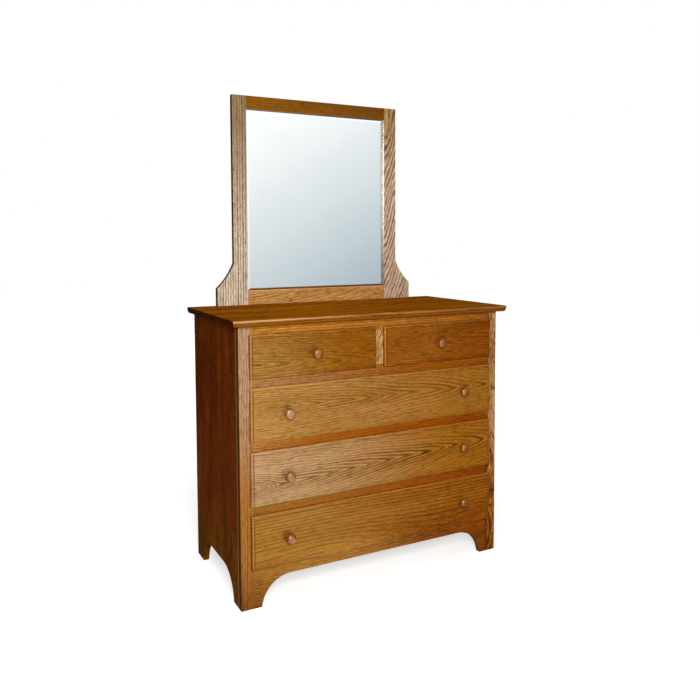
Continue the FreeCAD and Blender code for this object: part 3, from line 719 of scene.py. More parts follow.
@dataclass(frozen=True)
class FieldBorder(Accent):
    """Stain and painted shade at the foot of a drawer front's raised field, deepest on the left; painted
    shade on the lip's outer edge and sides; painted highlight on the lip's upper edge and on a left strip.

    Each pair gives the distances between which a mark comes in or fades, counted from the lip's outer edge,
    and for front and lip from the front's own face.
    """

    front: Pair = (5 * MM, 3.5 * MM)
    lip: Pair = (9.6 * MM, 9.2 * MM)
    foot_start: Pair = (6.6 * MM, 7.62 * MM)
    foot_end: Pair = (9.8 * MM, 10.4 * MM)
    rim: Pair = (1.02 * MM, 2.04 * MM)
    strip_start: Pair = (2.72 * MM, 4.08 * MM)
    strip_end: Pair = (6.26 * MM, 6.94 * MM)
    edge_highlight_span: Pair = (1.6 * MM, 3.0 * MM)
    # The colour of the stain and painted shade, then of the painted highlight on the left strip, then of the
    # painted highlight on the upper edge.
    stain_and_shade: Colour = stain(90, 36, 6)
    strip_highlight: Colour = stain(168, 108, 68)
    edge_highlight: Colour = stain(206, 150, 88)
    left_share: float = 0.85
    other_share: float = 0.25
    rim_share: float = 0.6
    lip_share: float = 0.4
    strip_highlight_share: float = 0.65
    edge_highlight_share: float = 0.45

    def apply(self, graph: Graph, node: str) -> None:
        """Colour the foot of the field's step with stain and painted shade, the lip's outer edge and sides
        with painted shade, and the upper edge and a left strip with painted highlight.

        Args:
            graph: The material's graph.
            node: The CAD node that wears it.
        """
        low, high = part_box(node)
        x, y, z = graph.place()
        left, head, back = x - low.x, high.z - z, y - low.y
        on_front = back.span(*self.front)
        for away, share in ((left, self.left_share), (high.x - x, self.other_share),
                            (z - low.z, self.other_share), (head, self.other_share)):
            # The step's foot gets stain gathered in the corner plus painted shade, much stronger on the left
            # side.
            step = away.span(*self.foot_start) * away.span(*self.foot_end, share, 0.0)
            # Painted shade of the gap along the lip's outer edge.
            rim = away.span(*self.rim, share * self.rim_share, 0.0)
            graph.recolour(graph.calc("MAXIMUM", step, rim) * on_front, self.stain_and_shade)
        # Painted highlight: a pale strip along the left border.
        strip = left.span(*self.strip_start) * left.span(*self.strip_end, self.strip_highlight_share, 0.0)
        graph.recolour(strip * on_front, self.strip_highlight)
        # Painted highlight along the lip's upper edge.
        graph.recolour(head.span(*self.edge_highlight_span, self.edge_highlight_share, 0.0) * on_front, self.edge_highlight)
        # Painted shade on the lip's faces that look sideways.
        lip_side = abs(graph.place("Normal")[0]).span(0.5, 0.8, 0.0, self.lip_share)
        graph.recolour(lip_side * back.span(*self.lip), self.stain_and_shade)


@dataclass(frozen=True)
class JointHighlight(Accent):
    """A painted highlight: a thin pale line on a side's eased front edge, where it meets the stile."""

    colour: Colour = stain(176, 130, 84)
    edge: Pair = (3.5 * MM, 5 * MM)
    share: float = 0.8

    def apply(self, graph: Graph, node: str) -> None:
        """Colour the painted highlight.

        Args:
            graph: The material's graph.
            node: The CAD node that wears it.
        """
        away = abs(graph.place()[1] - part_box(node)[0].y)
        # Painted highlight along the front edge.
        graph.recolour(away.span(*self.edge, self.share, 0.0), self.colour)


@dataclass(frozen=True)
class SideShadeAndLap(Accent):
    """Painted shade on an upright's narrow sides, which look sideways, and a rail's stain where it laps onto
    the inner edge.
    """

    colour: Colour = stain(84, 40, 22)
    share: float = 0.88
    lap: Colour | None = None
    lap_width: float = 9.5 * MM
    lap_fade: float = 0.8 * MM

    def apply(self, graph: Graph, node: str) -> None:
        """Colour the inner edge with the rail's stain, and the faces that look sideways with painted shade.

        Args:
            graph: The material's graph.
            node: The CAD node that wears it.
        """
        if self.lap:
            inner = min(abs(corner.x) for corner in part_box(node)) + self.lap_width
            share = abs(graph.place()[0]).span(inner - self.lap_fade, inner, 1.0, 0.0)
            graph.recolour(share, self.lap, "MULTIPLY")
        # Painted shade: the faces that look sideways are darkened.
        sideways = abs(graph.place("Normal")[0])
        graph.recolour(sideways.span(0.35, 0.6, 0.0, self.share), self.colour)


@dataclass(frozen=True)
class NoseLightAndShade(Accent):
    """A painted highlight high on the top's nose, fading towards the right, over a quirk of painted shade and
    a golden fillet, with painted shade on the ends.

    Each pair gives the heights over the nose's foot between which a mark comes in or fades.
    """

    nose: float = 11 * MM
    highlight_start: Pair = (3.5 * MM, 5.5 * MM)
    highlight_end: Pair = (8.0 * MM, 9.5 * MM)
    quirk_start: Pair = (-1.8 * MM, -0.6 * MM)
    quirk_end: Pair = (0.0, 1.2 * MM)
    fillet_end: Pair = (-1.6 * MM, -0.8 * MM)
    # The colours of the painted highlight, the painted shade in the quirk, the fillet and the painted shade
    # on the ends.
    pale: Colour = stain(198, 158, 116)
    dark: Colour = stain(84, 44, 8)
    fillet: Colour = stain(132, 78, 20)
    end: Colour = stain(44, 20, 5)
    pale_share: float = 0.8
    fillet_share: float = 0.85
    quirk_share: float = 0.6
    end_share: float = 0.85

    def apply(self, graph: Graph, node: str) -> None:
        """Colour the nose's painted highlight, the quirk's painted shade, the fillet and the ends' painted
        shade.

        Args:
            graph: The material's graph.
            node: The CAD node that wears it.
        """
        low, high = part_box(node)
        x, _, z = graph.place()
        sideways, _, upways = graph.place("Normal")
        ends = abs(sideways).span(0.4, 0.7)
        upright = abs(upways).span(0.55, 0.9, 1.0, 0.0) * (1.0 - ends)
        above = z - (high.z - self.nose)
        # Painted highlight on the nose, strongest at the left end.
        nose = above.span(*self.highlight_start) * upright * above.span(*self.highlight_end, 1.0, 0.2)
        nose = nose * x.span(low.x * 0.8, 0.0, self.pale_share, self.pale_share * 0.3)
        graph.recolour(above.span(*self.fillet_end, self.fillet_share, 0.0) * upright, self.fillet)
        graph.recolour(nose, self.pale)
        # Painted shade in the quirk under the nose.
        quirk = above.span(*self.quirk_start) * above.span(*self.quirk_end, self.quirk_share, 0.0)
        graph.recolour(quirk * upright, self.dark)
        # Painted shade on the top's ends, which look sideways.
        graph.recolour(ends * self.end_share, self.end)


@dataclass(frozen=True)
class EndGrainAndRimShade(Accent):
    """Darker colour on a turned knob's rim and underside, where its face turns away from the front: partly
    end-grain stain, partly painted shade.
    """

    colour: Colour = stain(66, 28, 8)
    share: float = 0.75

    def apply(self, graph: Graph, node: str) -> None:
        """Colour the rim and the underside with end-grain stain and painted shade.

        Args:
            graph: The material's graph.
            node: The CAD node that wears it; not used.
        """
        facing = graph.place("Normal")[1] * -1.0
        # End-grain stain and painted shade on the faces that turn away from the front.
        graph.recolour(facing.span(0.05, 0.35, self.share, 0.0), self.colour)


def wear(piece: bpy.types.Object, material: bpy.types.Material) -> None:
    """Put one material on every face of a piece.

    Args:
        piece: The Blender object.
        material: What it wears.
    """
    if not piece.material_slots:
        piece.data.materials.append(material)
    for place in piece.material_slots:
        place.link = "OBJECT"
        place.material = material


def stand(name: str, data: bpy.types.ID) -> bpy.types.Object:
    """Put a new mesh, lamp or camera into the scene.

    Args:
        name: Its name.
        data: What it is.

    Returns:
        Its object.
    """
    thing = bpy.data.objects.new(name, data)
    bpy.context.scene.collection.objects.link(thing)
    return thing


def shape(name: str, vertices: list[Place], faces: list[tuple[int, ...]]) -> bpy.types.Object:
    """Make a piece from its corners and faces.

    Args:
        name: The piece's name.
        vertices: Its corners, in metres.
        faces: Its faces, as rows of the corners' numbers.

    Returns:
        The new piece.
    """
    mesh = bpy.data.meshes.new(name)
    mesh.from_pydata(vertices, [], faces)
    mesh.validate()
    return stand(name, mesh)


@dataclass
class Board:
    """One CAD board with its finish, grain direction and figure."""

    node: str
    finish: WoodFinish | PlywoodFinish
    lay: Lay
    figure: Figure = field(default_factory=Figure)
    accent: Accent | None = None

    def dress(self, frame: dict) -> None:
        """Give the board its own material, and ease its edges.
        """
        low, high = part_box(self.node)
        middle = (low + high) / 2
        thick = "XYZ".index(self.lay.value[2])
        middle[thick] = low[thick]
        material = self.finish.material(self.node, middle, self.lay, self.figure)
        if self.accent:
            self.accent.apply(Graph.of(material), self.node)
        wear(frame["nodes"][self.node], material)
        self.soften(frame["nodes"][self.node])
        LOG.info("%s dressed, grain %s", self.node, self.lay.name.lower())

    def soften(self, piece: bpy.types.Object) -> None:
        """Ease the board's sharp edges with modifiers, which leave its mesh as it is.

        Args:
            piece: The CAD board.
        """
        weld = piece.modifiers.new("join_corners", "WELD")
        weld.merge_threshold = 0.01 * MM
        flat = piece.modifiers.new("join_flats", "DECIMATE")
        flat.decimate_type = "DISSOLVE"
        flat.angle_limit = math.radians(1.0)
        edge = piece.modifiers.new("ease_edges", "BEVEL")
        edge.width = EASE
        edge.segments = 2
        edge.limit_method = "ANGLE"
        edge.angle_limit = math.radians(35)
        edge.harden_normals = True


@dataclass
class Case:
    """The case: face frame, sides, back, runners and the other pieces inside."""

    def boards(self) -> list[Board]:
        """List the case's boards with their finishes."""
        up, across, side = Lay.UPRIGHT, Lay.ACROSS, Lay.SIDE
        straight = dict(pith_depth=0.02, rise=0.004, ring=0.0075, waver=0.005, waver_length=0.6)
        inner = {"rear_rail_top": across, "rear_rail_middle": across, "rear_rail_bottom": across,
                 "runners_bottom": Lay.DEEP, "runners_lower": Lay.DEEP, "runners_middle": Lay.DEEP,
                 "runners_small": Lay.DEEP, "kickers": Lay.DEEP_FLAT, "glue_blocks": up}
        boards = [
            Board("stile_left", STILE_OAK, up, Figure(
                pith_across=0.14, ring=0.0074, pith_depth=0.03, rise=0.03, waver=0.008, waver_length=0.2,
                seed=1.0, drift=Drift((0.74, 0.38, 0.12), 0.32, -0.15)), SideShadeAndLap(lap=(0.95, 0.8, 0.55))),
            Board("stile_right", BLOTCHED_OAK, up, Figure(
                pith_across=-0.03, pith_depth=0.12, slope=0.2, rise=0.16, sway=0.012, sway_length=0.3,
                ring=0.011, waver=0.012, waver_length=0.12, tremble=0.003, bold=1.9, seed=2.0,
                drift=Drift((0.88, 0.50, 0.12), 0.18, -0.22)), SideShadeAndLap(lap=(0.66, 0.4, 0.2))),
            Board("stile_centre", BLOTCHED_OAK, up, Figure(
                pith_across=0.03, rise=0.12, slope=0.25, ring=0.008, bold=1.5, seed=3.0)),
            # Each rail's drift makes it more saturated towards the right: partly the wood's own tone, partly
            # painted sheen that leaves the left end milkier.
            Board("rail_top", FRAME_OAK, across, Figure(
                pith_across=0.12, seed=4.0, drift=Drift((0.95, 0.82, 0.5), -0.1, 0.42), **straight)),
            Board("rail_upper", RAIL_OAK, across, Figure(
                pith_across=-0.10, seed=5.0, drift=Drift((0.95, 0.50, 0.02), -0.48, 0.22), **straight)),
            Board("rail_middle", RAIL_PALE, across, Figure(
                pith_across=0.11, seed=6.0, drift=Drift((0.80, 0.32, 0.0), -0.75, -0.15), **straight)),
            Board("rail_lower", RUSSET, across, Figure(
                pith_across=0.07, slope=0.03, seed=7.0, drift=Drift((1.48, 1.25, 0.18), -0.45, 0.13),
                **straight)),
            Board("rail_apron", APRON_OAK, across, Figure(
                pith_across=0.09, pith_depth=0.04, rise=0.05, seed=8.0,
                drift=Drift((1.0, 0.62, 0.18), 0.0, 0.4))),
            Board("side_panel_left", SIDE_OAK, side, Figure(
                pith_across=0.3, pith_depth=0.1, rise=0.01, seed=9.0,
                drift=Drift((0.93, 0.56, 1.0), -0.4, -0.1)), JointHighlight()),
            Board("side_panel_right", SIDE_OAK, side, Figure(pith_across=0.1, pith_depth=0.08, seed=10.0),
                  JointHighlight()),
            Board("back_panel", PLYWOOD, up, Figure(pith_depth=0.15, ring=0.012, seed=11.0)),
            Board("top_board", TOP_OAK, Lay.FLAT, Figure(
                pith_across=0.06, pith_depth=0.09, rise=0.05, seed=21.0), NoseLightAndShade()),
        ]
        return boards + [Board(node, INNER_WOOD, lay, Figure(seed=12.0 + index))
                         for index, (node, lay) in enumerate(inner.items())]

    def build(self, frame: dict) -> None:
        """Dress every board of the case.
        """
        for board in self.boards():
            board.dress(frame)


@dataclass(frozen=True)
class KnobProfile:
    """Half of a turned mushroom knob, as shares of its radius and reach."""

    foot: float = 0.6
    waist: float = 0.55
    waist_at: float = 0.12
    shoulder: float = 0.94
    rim_low: float = 0.42
    rim_high: float = 0.62
    fullness: float = 0.58
    steps: int = 10

    def quarter(self, first: int = 1, finer: int = 1) -> list[Pair]:
        """The sine and cosine at even steps of a quarter turn.

        Args:
            first: The first step.
            finer: How many times finer the steps are.

        Returns:
            The pairs.
        """
        steps = self.steps * finer
        turns = (math.pi / 2 * step / steps for step in range(first, steps + 1))
        return [(math.sin(turn), max(math.cos(turn), 0.0)) for turn in turns]

    def points(self, radius: float, reach: float) -> list[Pair]:
        """Walk along the profile from the foot to the middle of the crown.

        Args:
            radius: The knob's greatest radius.
            reach: How far it stands out from the drawer.

        Returns:
            Pairs of a radius and a height above the foot.
        """
        foot, waist, shoulder = (radius * share for share in (self.foot, self.waist, self.shoulder))
        hollow, low, high = (reach * share for share in (self.waist_at, self.rim_low, self.rim_high))
        neck = [(foot - (foot - waist) * sine, hollow * (1 - cosine)) for sine, cosine in self.quarter(0)]
        flare = [(shoulder - (shoulder - waist) * cosine, hollow + (low - hollow) * sine)
                 for sine, cosine in self.quarter()]
        rim = [(shoulder + (radius - shoulder) * sine, high - (high - low) * cosine)
               for sine, cosine in self.quarter()]
        crown = [(radius * cosine ** self.fullness, high + (reach - high) * sine)
                 for sine, cosine in self.quarter(finer=2)]
        return neck + flare + rim + crown


def turned(name: str, points: list[Pair], place: Vector, sides: int = 64) -> bpy.types.Object:
    """Turn a profile about an axis that points at the viewer.

    Args:
        name: The piece's name.
        points: Pairs of a radius and a distance in front of the place.
        place: Where the axis meets the drawer.
        sides: Steps round the axis.

    Returns:
        The new piece.
    """
    turns = [math.tau * side / sides for side in range(sides)]
    vertices = [(place.x + radius * math.cos(turn), place.y - height, place.z + radius * math.sin(turn))
                for radius, height in points[:-1] for turn in turns]
    faces = []
    for low in range(0, (len(points) - 2) * sides, sides):
        for side in range(sides):
            after = (side + 1) % sides
            faces.append((low + side, low + after, low + sides + after, low + sides + side))
    tip, last = len(vertices), len(vertices) - sides
    vertices.append((place.x, place.y - points[-1][1], place.z))
    faces += [(last + side, last + (side + 1) % sides, tip) for side in range(sides)]
    faces.append(tuple(reversed(range(sides))))
    piece = shape(name, vertices, faces)
    for face in piece.data.polygons:
        face.use_smooth = len(face.vertices) < 5
    return piece


@dataclass(frozen=True)
class Fastener:
    """The round head of a screw or nail that looks towards +Y."""

    radius: float
    height: float
    slotted: bool = True
    sides: int = 28
    slot_share: float = 0.13
    rim_share: float = 0.96

    def drive(self, name: str, places: list[Vector], body: str) -> None:
        """Make heads as one piece of bright steel that rides on a body.

        Args:
            name: The piece's name.
            places: Where each head's middle sits on its surface.
            body: What the piece rides on.
        """
        vertices, faces = [], []
        circle = self.arc(0.0, math.tau, self.sides)[:-1]
        edge = math.asin(self.slot_share / self.rim_share)
        halves = [[(x * hand * self.rim_share, z * hand * self.rim_share)
                   for x, z in self.arc(edge, math.pi - edge, self.sides // 2)] for hand in (1, -1)]
        middle = self.height * 0.45
        layers = [(circle, 0.0, middle, 0.98)] + [(half, middle, self.height, 0.9) for half in halves]
        if not self.slotted:
            layers = [(circle, 0.0, self.height, 0.8)]
        for place in places:
            for outline, low, high, shrink in layers:
                first, count = len(vertices), len(outline)
                for y, size in ((low, 1.0), (high, shrink)):
                    vertices += [(place.x + x * size, place.y + y, place.z + z * size) for x, z in outline]
                for index in range(count):
                    after = (index + 1) % count
                    faces.append((first + index, first + count + index, first + count + after, first + after))
                faces.append(tuple(first + count + index for index in reversed(range(count))))
        piece = shape(name, vertices, faces)
        wear(piece, SCREW_STEEL.material(name))
        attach(piece, body)

    def arc(self, start: float, end: float, steps: int) -> list[Pair]:
        """Points on the head's rim, seen from the front.

        Args:
            start: The first point's angle.
            end: The last point's angle.
            steps: Stretches between them.

        Returns:
            Pairs of a place across and a place up.
        """
        turns = (start + (end - start) * step / steps for step in range(steps + 1))
        return [(self.radius * math.cos(turn), self.radius * math.sin(turn)) for turn in turns]


@dataclass
class Drawer:
    """One drawer: its front's figure, its box and its turned knobs."""

    name: str
    finish: WoodFinish
    seed: float
    knobs: tuple[WoodFinish, ...]
    figure: Figure
    profile: KnobProfile = field(default_factory=KnobProfile)
    radius_share: float = 0.997
    screw: Fastener = Fastener(4.2 * MM, 1.9 * MM)

    def build(self, frame: dict) -> None:
        """Dress the drawer's boards and turn its knobs.
        """
        box = {"side_left": Lay.DEEP, "side_right": Lay.DEEP, "back": Lay.ACROSS}
        boards = [Board(self.name + "_front", self.finish, Lay.ACROSS, self.figure, FieldBorder())]
        for index, (part, lay) in enumerate(box.items(), 1):
            figure = Figure(pith_across=0.15, pith_depth=0.03, rise=0.01, seed=self.seed + index)
            boards.append(Board(f"{self.name}_{part}", BOX_WOOD, lay, figure))
        boards.append(Board(self.name + "_bottom", PLYWOOD, Lay.FLAT, Figure(seed=self.seed + 4, ring=0.012)))
        for board in boards:
            board.dress(frame)
        self.turn_knobs()

    def turn_knobs(self) -> None:
        """Turn each knob inside the space that its plain CAD knob holds."""
        node = self.name + ("_knob" if "small" in self.name else "_knobs")
        low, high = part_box(node)
        radius = (high.z - low.z) / 2
        middle = (high.z + low.z) / 2
        places = {"left": low.x + radius, "right": high.x - radius} if node.endswith("s") else {
            "middle": (low.x + high.x) / 2}
        for index, (hand, x) in enumerate(places.items()):
            name = f"{self.name}_knob_{hand}"
            place = Vector((x, high.y, middle))
            piece = turned(name, self.profile.points(radius * self.radius_share, high.y - low.y), place)
            figure = Figure(pith_across=0.02, pith_depth=0.015, rise=0.2, ring=0.0035, waver=0.001,
                            seed=self.seed + 10 + index)
            material = self.knobs[index].material(name, place, Lay.ACROSS, figure)
            EndGrainAndRimShade().apply(Graph.of(material), node)
            wear(piece, material)
            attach(piece, self.name)
            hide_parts(node)
            inside = Vector((x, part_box(self.name + "_front")[1].y, middle))
            self.screw.drive(f"{self.name}_screw_{hand}", [inside], self.name)
            LOG.info("%s turned, and its screw put in", name)


@dataclass
class Mirror:
    """The fixed mirror: footed posts, rails, glass, backing and steel straps."""

    strap_width: float = 32 * MM
    strap_thick: float = 3 * MM
    strap_inset: float = 0.3 * MM
    strap_ease: float = 0.4 * MM
    crank: float = 12 * MM
    screw_radius: float = 4.6 * MM
    screw_height: float = 1.9 * MM
    upper_screws: tuple[float, ...] = (14 * MM, 62 * MM, 110 * MM)
    lower_screws: tuple[float, ...] = (14 * MM, 52 * MM)
    nail: Fastener = Fastener(1.6 * MM, 0.5 * MM, slotted=False, sides=12)
    nailed: tuple[tuple[str, str, float, float], ...] = (("back_panel", "back_nails", 9 * MM, 0.14),
                                                         ("mirror_retainers", "retainer_nails", 6 * MM, 0.16))

    def build(self, frame: dict) -> None:
        """Dress every piece of the mirror.
        """
        up, across = Lay.UPRIGHT, Lay.ACROSS
        boards = [
            Board("mirror_post_left", POST_OAK, up, Figure(
                pith_across=0.20, pith_depth=0.03, rise=0.02, ring=0.0094, bold=1.7, waver=0.005,
                waver_length=0.4, seed=31.0, drift=Drift((0.30, 0.20, 0.05), -0.40, 0.36)), SideShadeAndLap()),
            Board("mirror_post_right", POST_WARM, up, Figure(
                pith_across=-0.20, pith_depth=0.02, slope=0.36, rise=0.1, ring=0.0135, bold=1.9, waver=0.02,
                waver_length=0.2, tremble=0.002, seed=32.0, drift=Drift((0.57, 0.45, 0.20), 0.04, 0.33)),
                SideShadeAndLap()),
            Board("mirror_rail_top", MIRROR_TOP_OAK, across, Figure(pith_across=0.09, rise=0.03, seed=33.0)),
            Board("mirror_rail_bottom", MIRROR_LOW_OAK, across, Figure(
                pith_across=0.03, pith_depth=0.04, slope=0.05, rise=0.14, seed=34.0)),
            Board("mirror_backing", PLYWOOD, up, Figure(pith_depth=0.15, ring=0.012, seed=35.0)),
            Board("mirror_retainers", INNER_WOOD, up, Figure(seed=36.0)),
        ]
        for board in boards:
            board.dress(frame)
        wear(frame["nodes"]["mirror_glass"], MIRROR_GLASS.material("mirror_glass"))
        LOG.info("mirror glass dressed")
        self.bend_straps()
        self.drive_nails()

    def bend_straps(self) -> None:
        """Bend the two steel straps, and put in their screws."""
        low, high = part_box("mirror_straps")
        head, bend = high.z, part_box("top_board")[0].z
        knee = bend - self.crank
        upper, lower = high.y - self.strap_thick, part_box("back_panel")[1].y
        thick = self.strap_thick - self.strap_inset
        profile = [(upper, head), (upper, bend), (lower, knee), (lower, low.z), (lower + thick, low.z),
                   (lower + thick, knee), (upper + thick, bend), (upper + thick, head)]
        count = len(profile)
        faces = [tuple(range(count)), tuple(reversed(range(count, count * 2)))]
        for side in range(count):
            after = (side + 1) % count
            faces.append((side, side + count, after + count, after))
        for hand, left in (("left", low.x), ("right", high.x - self.strap_width)):
            name = f"mirror_strap_{hand}"
            vertices = [(x, y, z) for x in (left, left + self.strap_width) for y, z in profile]
            piece = shape(name, vertices, faces)
            edge = piece.modifiers.new("ease_edges", "BEVEL")
            edge.width, edge.segments, edge.limit_method = self.strap_ease, 2, "ANGLE"
            wear(piece, STEEL.material(name))
            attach(piece, "case")
            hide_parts("mirror_straps")
            middle = left + self.strap_width / 2
            flush = [Vector((middle, upper + thick, head - away)) for away in self.upper_screws]
            proud = [Vector((middle, lower + thick, low.z + away)) for away in self.lower_screws]
            Fastener(self.screw_radius, self.strap_inset).drive(f"{name}_screws_upper", flush, "case")
            Fastener(self.screw_radius, self.screw_height).drive(f"{name}_screws_lower", proud, "case")
            LOG.info("%s bent and screwed on", name)

    def drive_nails(self) -> None:
        """Drive small nails round the back panel and through the strips behind the glass."""
        for node, name, margin, pitch in self.nailed:
            low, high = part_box(node)
            wide, tall = high.x - low.x - margin * 2, high.z - low.z - margin * 2
            across, upward = (max(round(length / pitch), 1) for length in (wide, tall))
            steps = [(step / across, end) for step in range(across + 1) for end in (0.0, 1.0)]
            steps += [(end, step / upward) for step in range(1, upward) for end in (0.0, 1.0)]
            first = Vector((low.x + margin, high.y, low.z + margin))
            self.nail.drive(name, [first + Vector((wide * x, 0.0, tall * z)) for x, z in steps], "case")
            LOG.info("%s driven", name)


@dataclass(frozen=True)
class Lamp:
    """One soft square lamp, with its power in watts."""

    name: str
    place: Place
    target: Place
    size: float
    power: float
    mirrored: bool = True

    def hang(self) -> None:
        """Hang the lamp and turn it towards its target."""
        data = bpy.data.lights.new(self.name, "AREA")
        data.energy = self.power
        data.size = self.size
        lamp = stand(self.name, data)
        lamp.location = self.place
        lamp.rotation_euler = (Vector(self.target) - Vector(self.place)).to_track_quat("-Z", "Y").to_euler()
        lamp.visible_glossy = self.mirrored


@dataclass(frozen=True)
class Studio:
    """The camera, the lamps, the pale floor and the backdrop. Angles are in degrees.

    The fall is how bright the backdrop is where the mirror shows it, by height and from left to right, and
    its green and blue follow from its red by a slope and a level.
    """

    camera_place: Place = (-1.13341, -2.18663, 1.09375)
    yaw: float = -27.578
    pitch: float = 3.632
    roll: float = -0.218
    focal_pixels: float = 720.924
    frame_pixels: float = 700.0
    shift_pixels: float = 65.0
    sensor: float = 36.0
    key: Lamp = Lamp("key", (-1.05, -2.35, 1.55), (0.0, 0.0, 0.7), 0.75, 58.0)
    overhead: Lamp = Lamp("overhead", (-0.2, -0.3, 3.2), (0.0, 0.0, 0.8), 1.6, 20.0, mirrored=False)
    floor_half: float = 6.0
    floor_fade: Pair = (0.78, 2.08)
    floor_levels: Pair = (0.6, 1.0)
    floor_shine: Pair = (1.9, 0.02)
    fill: float = 0.2
    fall_upward: float = 2.1
    fall_rightward: float = -1.2
    fall_level: float = 1.184
    fall_least: float = 0.25
    fall_most: float = 1.06
    fall_green: Pair = (0.84, 0.165)
    fall_blue: Pair = (0.77, 0.235)
    left_end: Pair = (-70.0, -20.0)
    floor_right_end: Pair = (3.0, 38.0)
    backdrop_right_end: Pair = (32.0, 43.0)
    white: Colour = (1.0, 1.0, 1.0)
    floor_colour: Colour = (0.82, 0.82, 0.82)
    mirrored_floor: Colour = (0.03, 0.03, 0.03)
    mirrored_behind: Colour = (0.02, 0.014, 0.006)
    mirrored_above: Colour = (0.34, 0.2, 0.05)
    fill_low: Colour = (0.75, 0.75, 0.8)
    fill_high: Colour = (1.3, 1.28, 1.22)

    def build(self) -> None:
        """Set up the camera, lamps, floor and world."""
        self.camera()
        self.key.hang()
        self.overhead.hang()
        self.floor()
        self.world()
        bpy.context.scene.view_settings.view_transform = "Standard"
        LOG.info("studio ready")

    def camera(self) -> None:
        """Place the camera where the photograph was taken from."""
        yaw, tip, roll = (math.radians(angle) for angle in (self.yaw, 90.0 - self.pitch, self.roll))
        turn = Matrix.Rotation(yaw, 4, "Z") @ Matrix.Rotation(tip, 4, "X") @ Matrix.Rotation(roll, 4, "Z")
        data = bpy.data.cameras.new("camera")
        data.sensor_width = self.sensor
        data.lens = self.sensor * self.focal_pixels / self.frame_pixels
        data.shift_y = -self.shift_pixels / self.frame_pixels
        camera = stand("camera", data)
        camera.matrix_world = Matrix.Translation(self.camera_place) @ turn
        bpy.context.scene.camera = camera

    def front(self, turn: Value, right_end: Pair, *levels: float) -> Value:
        """Show light only in front of the dresser, fading out at either end.

        Args:
            turn: The angle from straight in front.
            right_end: The angles between which it fades out on the right.
            levels: The levels at those angles.

        Returns:
            The level.
        """
        left, right = ([math.radians(angle) for angle in end] for end in (self.left_end, right_end))
        return turn.span(*left) * turn.span(*right, *levels)

    def turn(self, graph: Graph, x: Value, y: Value) -> Value:
        """The angle of a place or direction, from straight in front of the dresser to the right."""
        return graph.calc("ARCTAN2", x, y * -1.0)

    def floor(self) -> None:
        """Lay the pale floor, which looks white to the camera but keeps the dresser's shadow."""
        half = self.floor_half
        corners = [(-half, -half, 0), (half, -half, 0), (half, half, 0), (-half, half, 0)]
        piece = shape("floor", corners, [(0, 1, 2, 3)])
        graph = Graph("floor")
        x, y, _ = graph.place()
        glossy = graph.ray("Glossy")
        white = graph.calc("SQRT", x * x + y * y).span(*self.floor_fade, *self.floor_levels)
        seen = graph.calc("MAXIMUM", graph.ray("Camera"), graph.ray("Transmission"))
        shine = self.front(self.turn(graph, x, y), self.floor_right_end, *self.floor_shine)
        graph.shade({"Base Color": graph.mix(glossy, self.floor_colour, self.mirrored_floor),
                     "Roughness": 0.9, "Specular IOR Level": 0.0, "Emission Color": self.white,
                     "Emission Strength": seen * white + glossy * shine})
        wear(piece, graph.material)

    def world(self) -> None:
        """Light the scene softly, behind a white backdrop that reflections show as shaded grey-blue."""
        world = bpy.data.worlds.new("world")
        bpy.context.scene.world = world
        world.use_nodes = True
        graph = Graph.of(world)
        graph.tree.nodes.clear()
        x, y, z = graph.place("Generated")
        turn = self.turn(graph, x, y)
        fall = z * self.fall_upward + (turn * self.fall_rightward + self.fall_level)
        fall = graph.calc("MAXIMUM", graph.calc("MINIMUM", fall, self.fall_most), self.fall_least)
        green, blue = (fall * slope + level for slope, level in (self.fall_green, self.fall_blue))
        tone = graph.vector(fall, green, blue)
        front = self.front(turn, self.backdrop_right_end, 1.0, 0.0)
        around = graph.mix(front, self.mirrored_behind, tone)
        shown = graph.mix(z.span(0.45, 0.75), around, self.mirrored_above)
        fill = graph.mix(z.span(0.0, 0.9), self.fill_low, self.fill_high)
        clear = graph.calc("MAXIMUM", graph.ray("Camera"), graph.ray("Transmission"))
        light = graph.node("Background", {"Color": fill, "Strength": self.fill})
        for share, colour in ((graph.ray("Glossy"), shown), (clear, self.white)):
            other = graph.node("Background", {"Color": colour, "Strength": 1.0})
            light = graph.node("MixShader", {0: share, 1: Value(graph, light.outputs[0]),
                                             2: Value(graph, other.outputs[0])})
        graph.node("OutputWorld", {"Surface": Value(graph, light.outputs[0])})


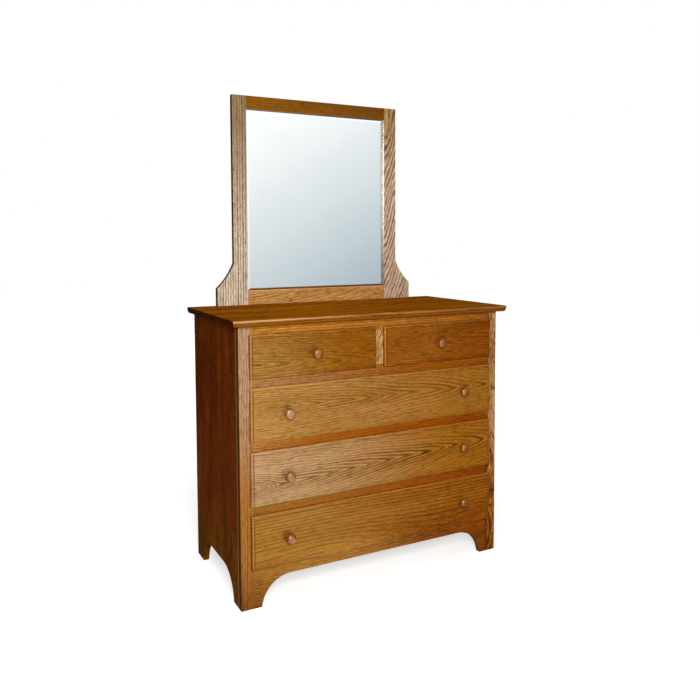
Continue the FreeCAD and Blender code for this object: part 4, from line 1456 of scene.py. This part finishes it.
def main() -> None:
    """Dress the dresser, piece by piece."""
    logging.basicConfig(level=logging.INFO, format="%(name)s: %(message)s")
    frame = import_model()
    Studio().build()
    Case().build(frame)
    # Each front's drift makes it more saturated towards the right: partly the wood's own tone, partly painted
    # light, a sheen that leaves the left side milkier.
    drawers = [
        Drawer("drawer_small_left", AMBER, 50.0, (KNOB_TAN,), Figure(
            pith_across=-0.030, pith_depth=0.028, rise=0.08, slope=-0.05, vee=0.015, heart=0.03, aloof=0.6,
            ring=0.0075, seed=41.0, drift=Drift((0.84, 0.48, 0.04), -0.24, 0.14))),
        Drawer("drawer_small_right", AMBER_DEEP, 60.0, (KNOB_TAN,), Figure(
            pith_across=0.02, pith_depth=0.05, rise=-0.09, slope=0.04, vee=0.015, heart=0.03, aloof=0.7,
            ring=0.0075, seed=42.0, drift=Drift((0.88, 0.68, 0.3), -0.12, 0.16))),
        Drawer("drawer_upper", GOLDEN, 70.0, (KNOB_PALE, KNOB_TAN), Figure(
            pith_across=0.018, pith_depth=0.09, slope=-0.01, rise=0.13, vee=0.08, heart=0.03, sway=0.003,
            sway_length=0.3, ring=0.0085, waver=0.005, bold=1.6, seed=43.0,
            drift=Drift((0.94, 0.74, 0.24), -0.42, 0.40))),
        Drawer("drawer_lower", GOLDEN_PALE, 80.0, (KNOB_OLIVE, KNOB_TAN), Figure(
            pith_across=-0.004, pith_depth=0.108, slope=0.045, rise=0.13, vee=0.09, heart=0.034, burst=0.5,
            burst_at=-0.35, ring=0.0085, waver_length=0.20, tremble=0.0015, bold=2.1, seed=44.0,
            drift=Drift((0.84, 0.49, 0.05), -0.45, 0.30))),
        Drawer("drawer_bottom", HONEY, 90.0, (KNOB_RED, KNOB_TAN), Figure(
            pith_across=-0.07, pith_depth=0.06, rise=0.03, vee=0.01, sway=0.006, sway_length=0.7, ring=0.0092,
            waver=0.004, bold=1.25, seed=45.0, drift=Drift((1.22, 0.96, 0.2), -0.40, 0.40))),
    ]
    for drawer in drawers:
        drawer.build(frame)
    Mirror().build(frame)


if __name__ == "__main__":
    main()
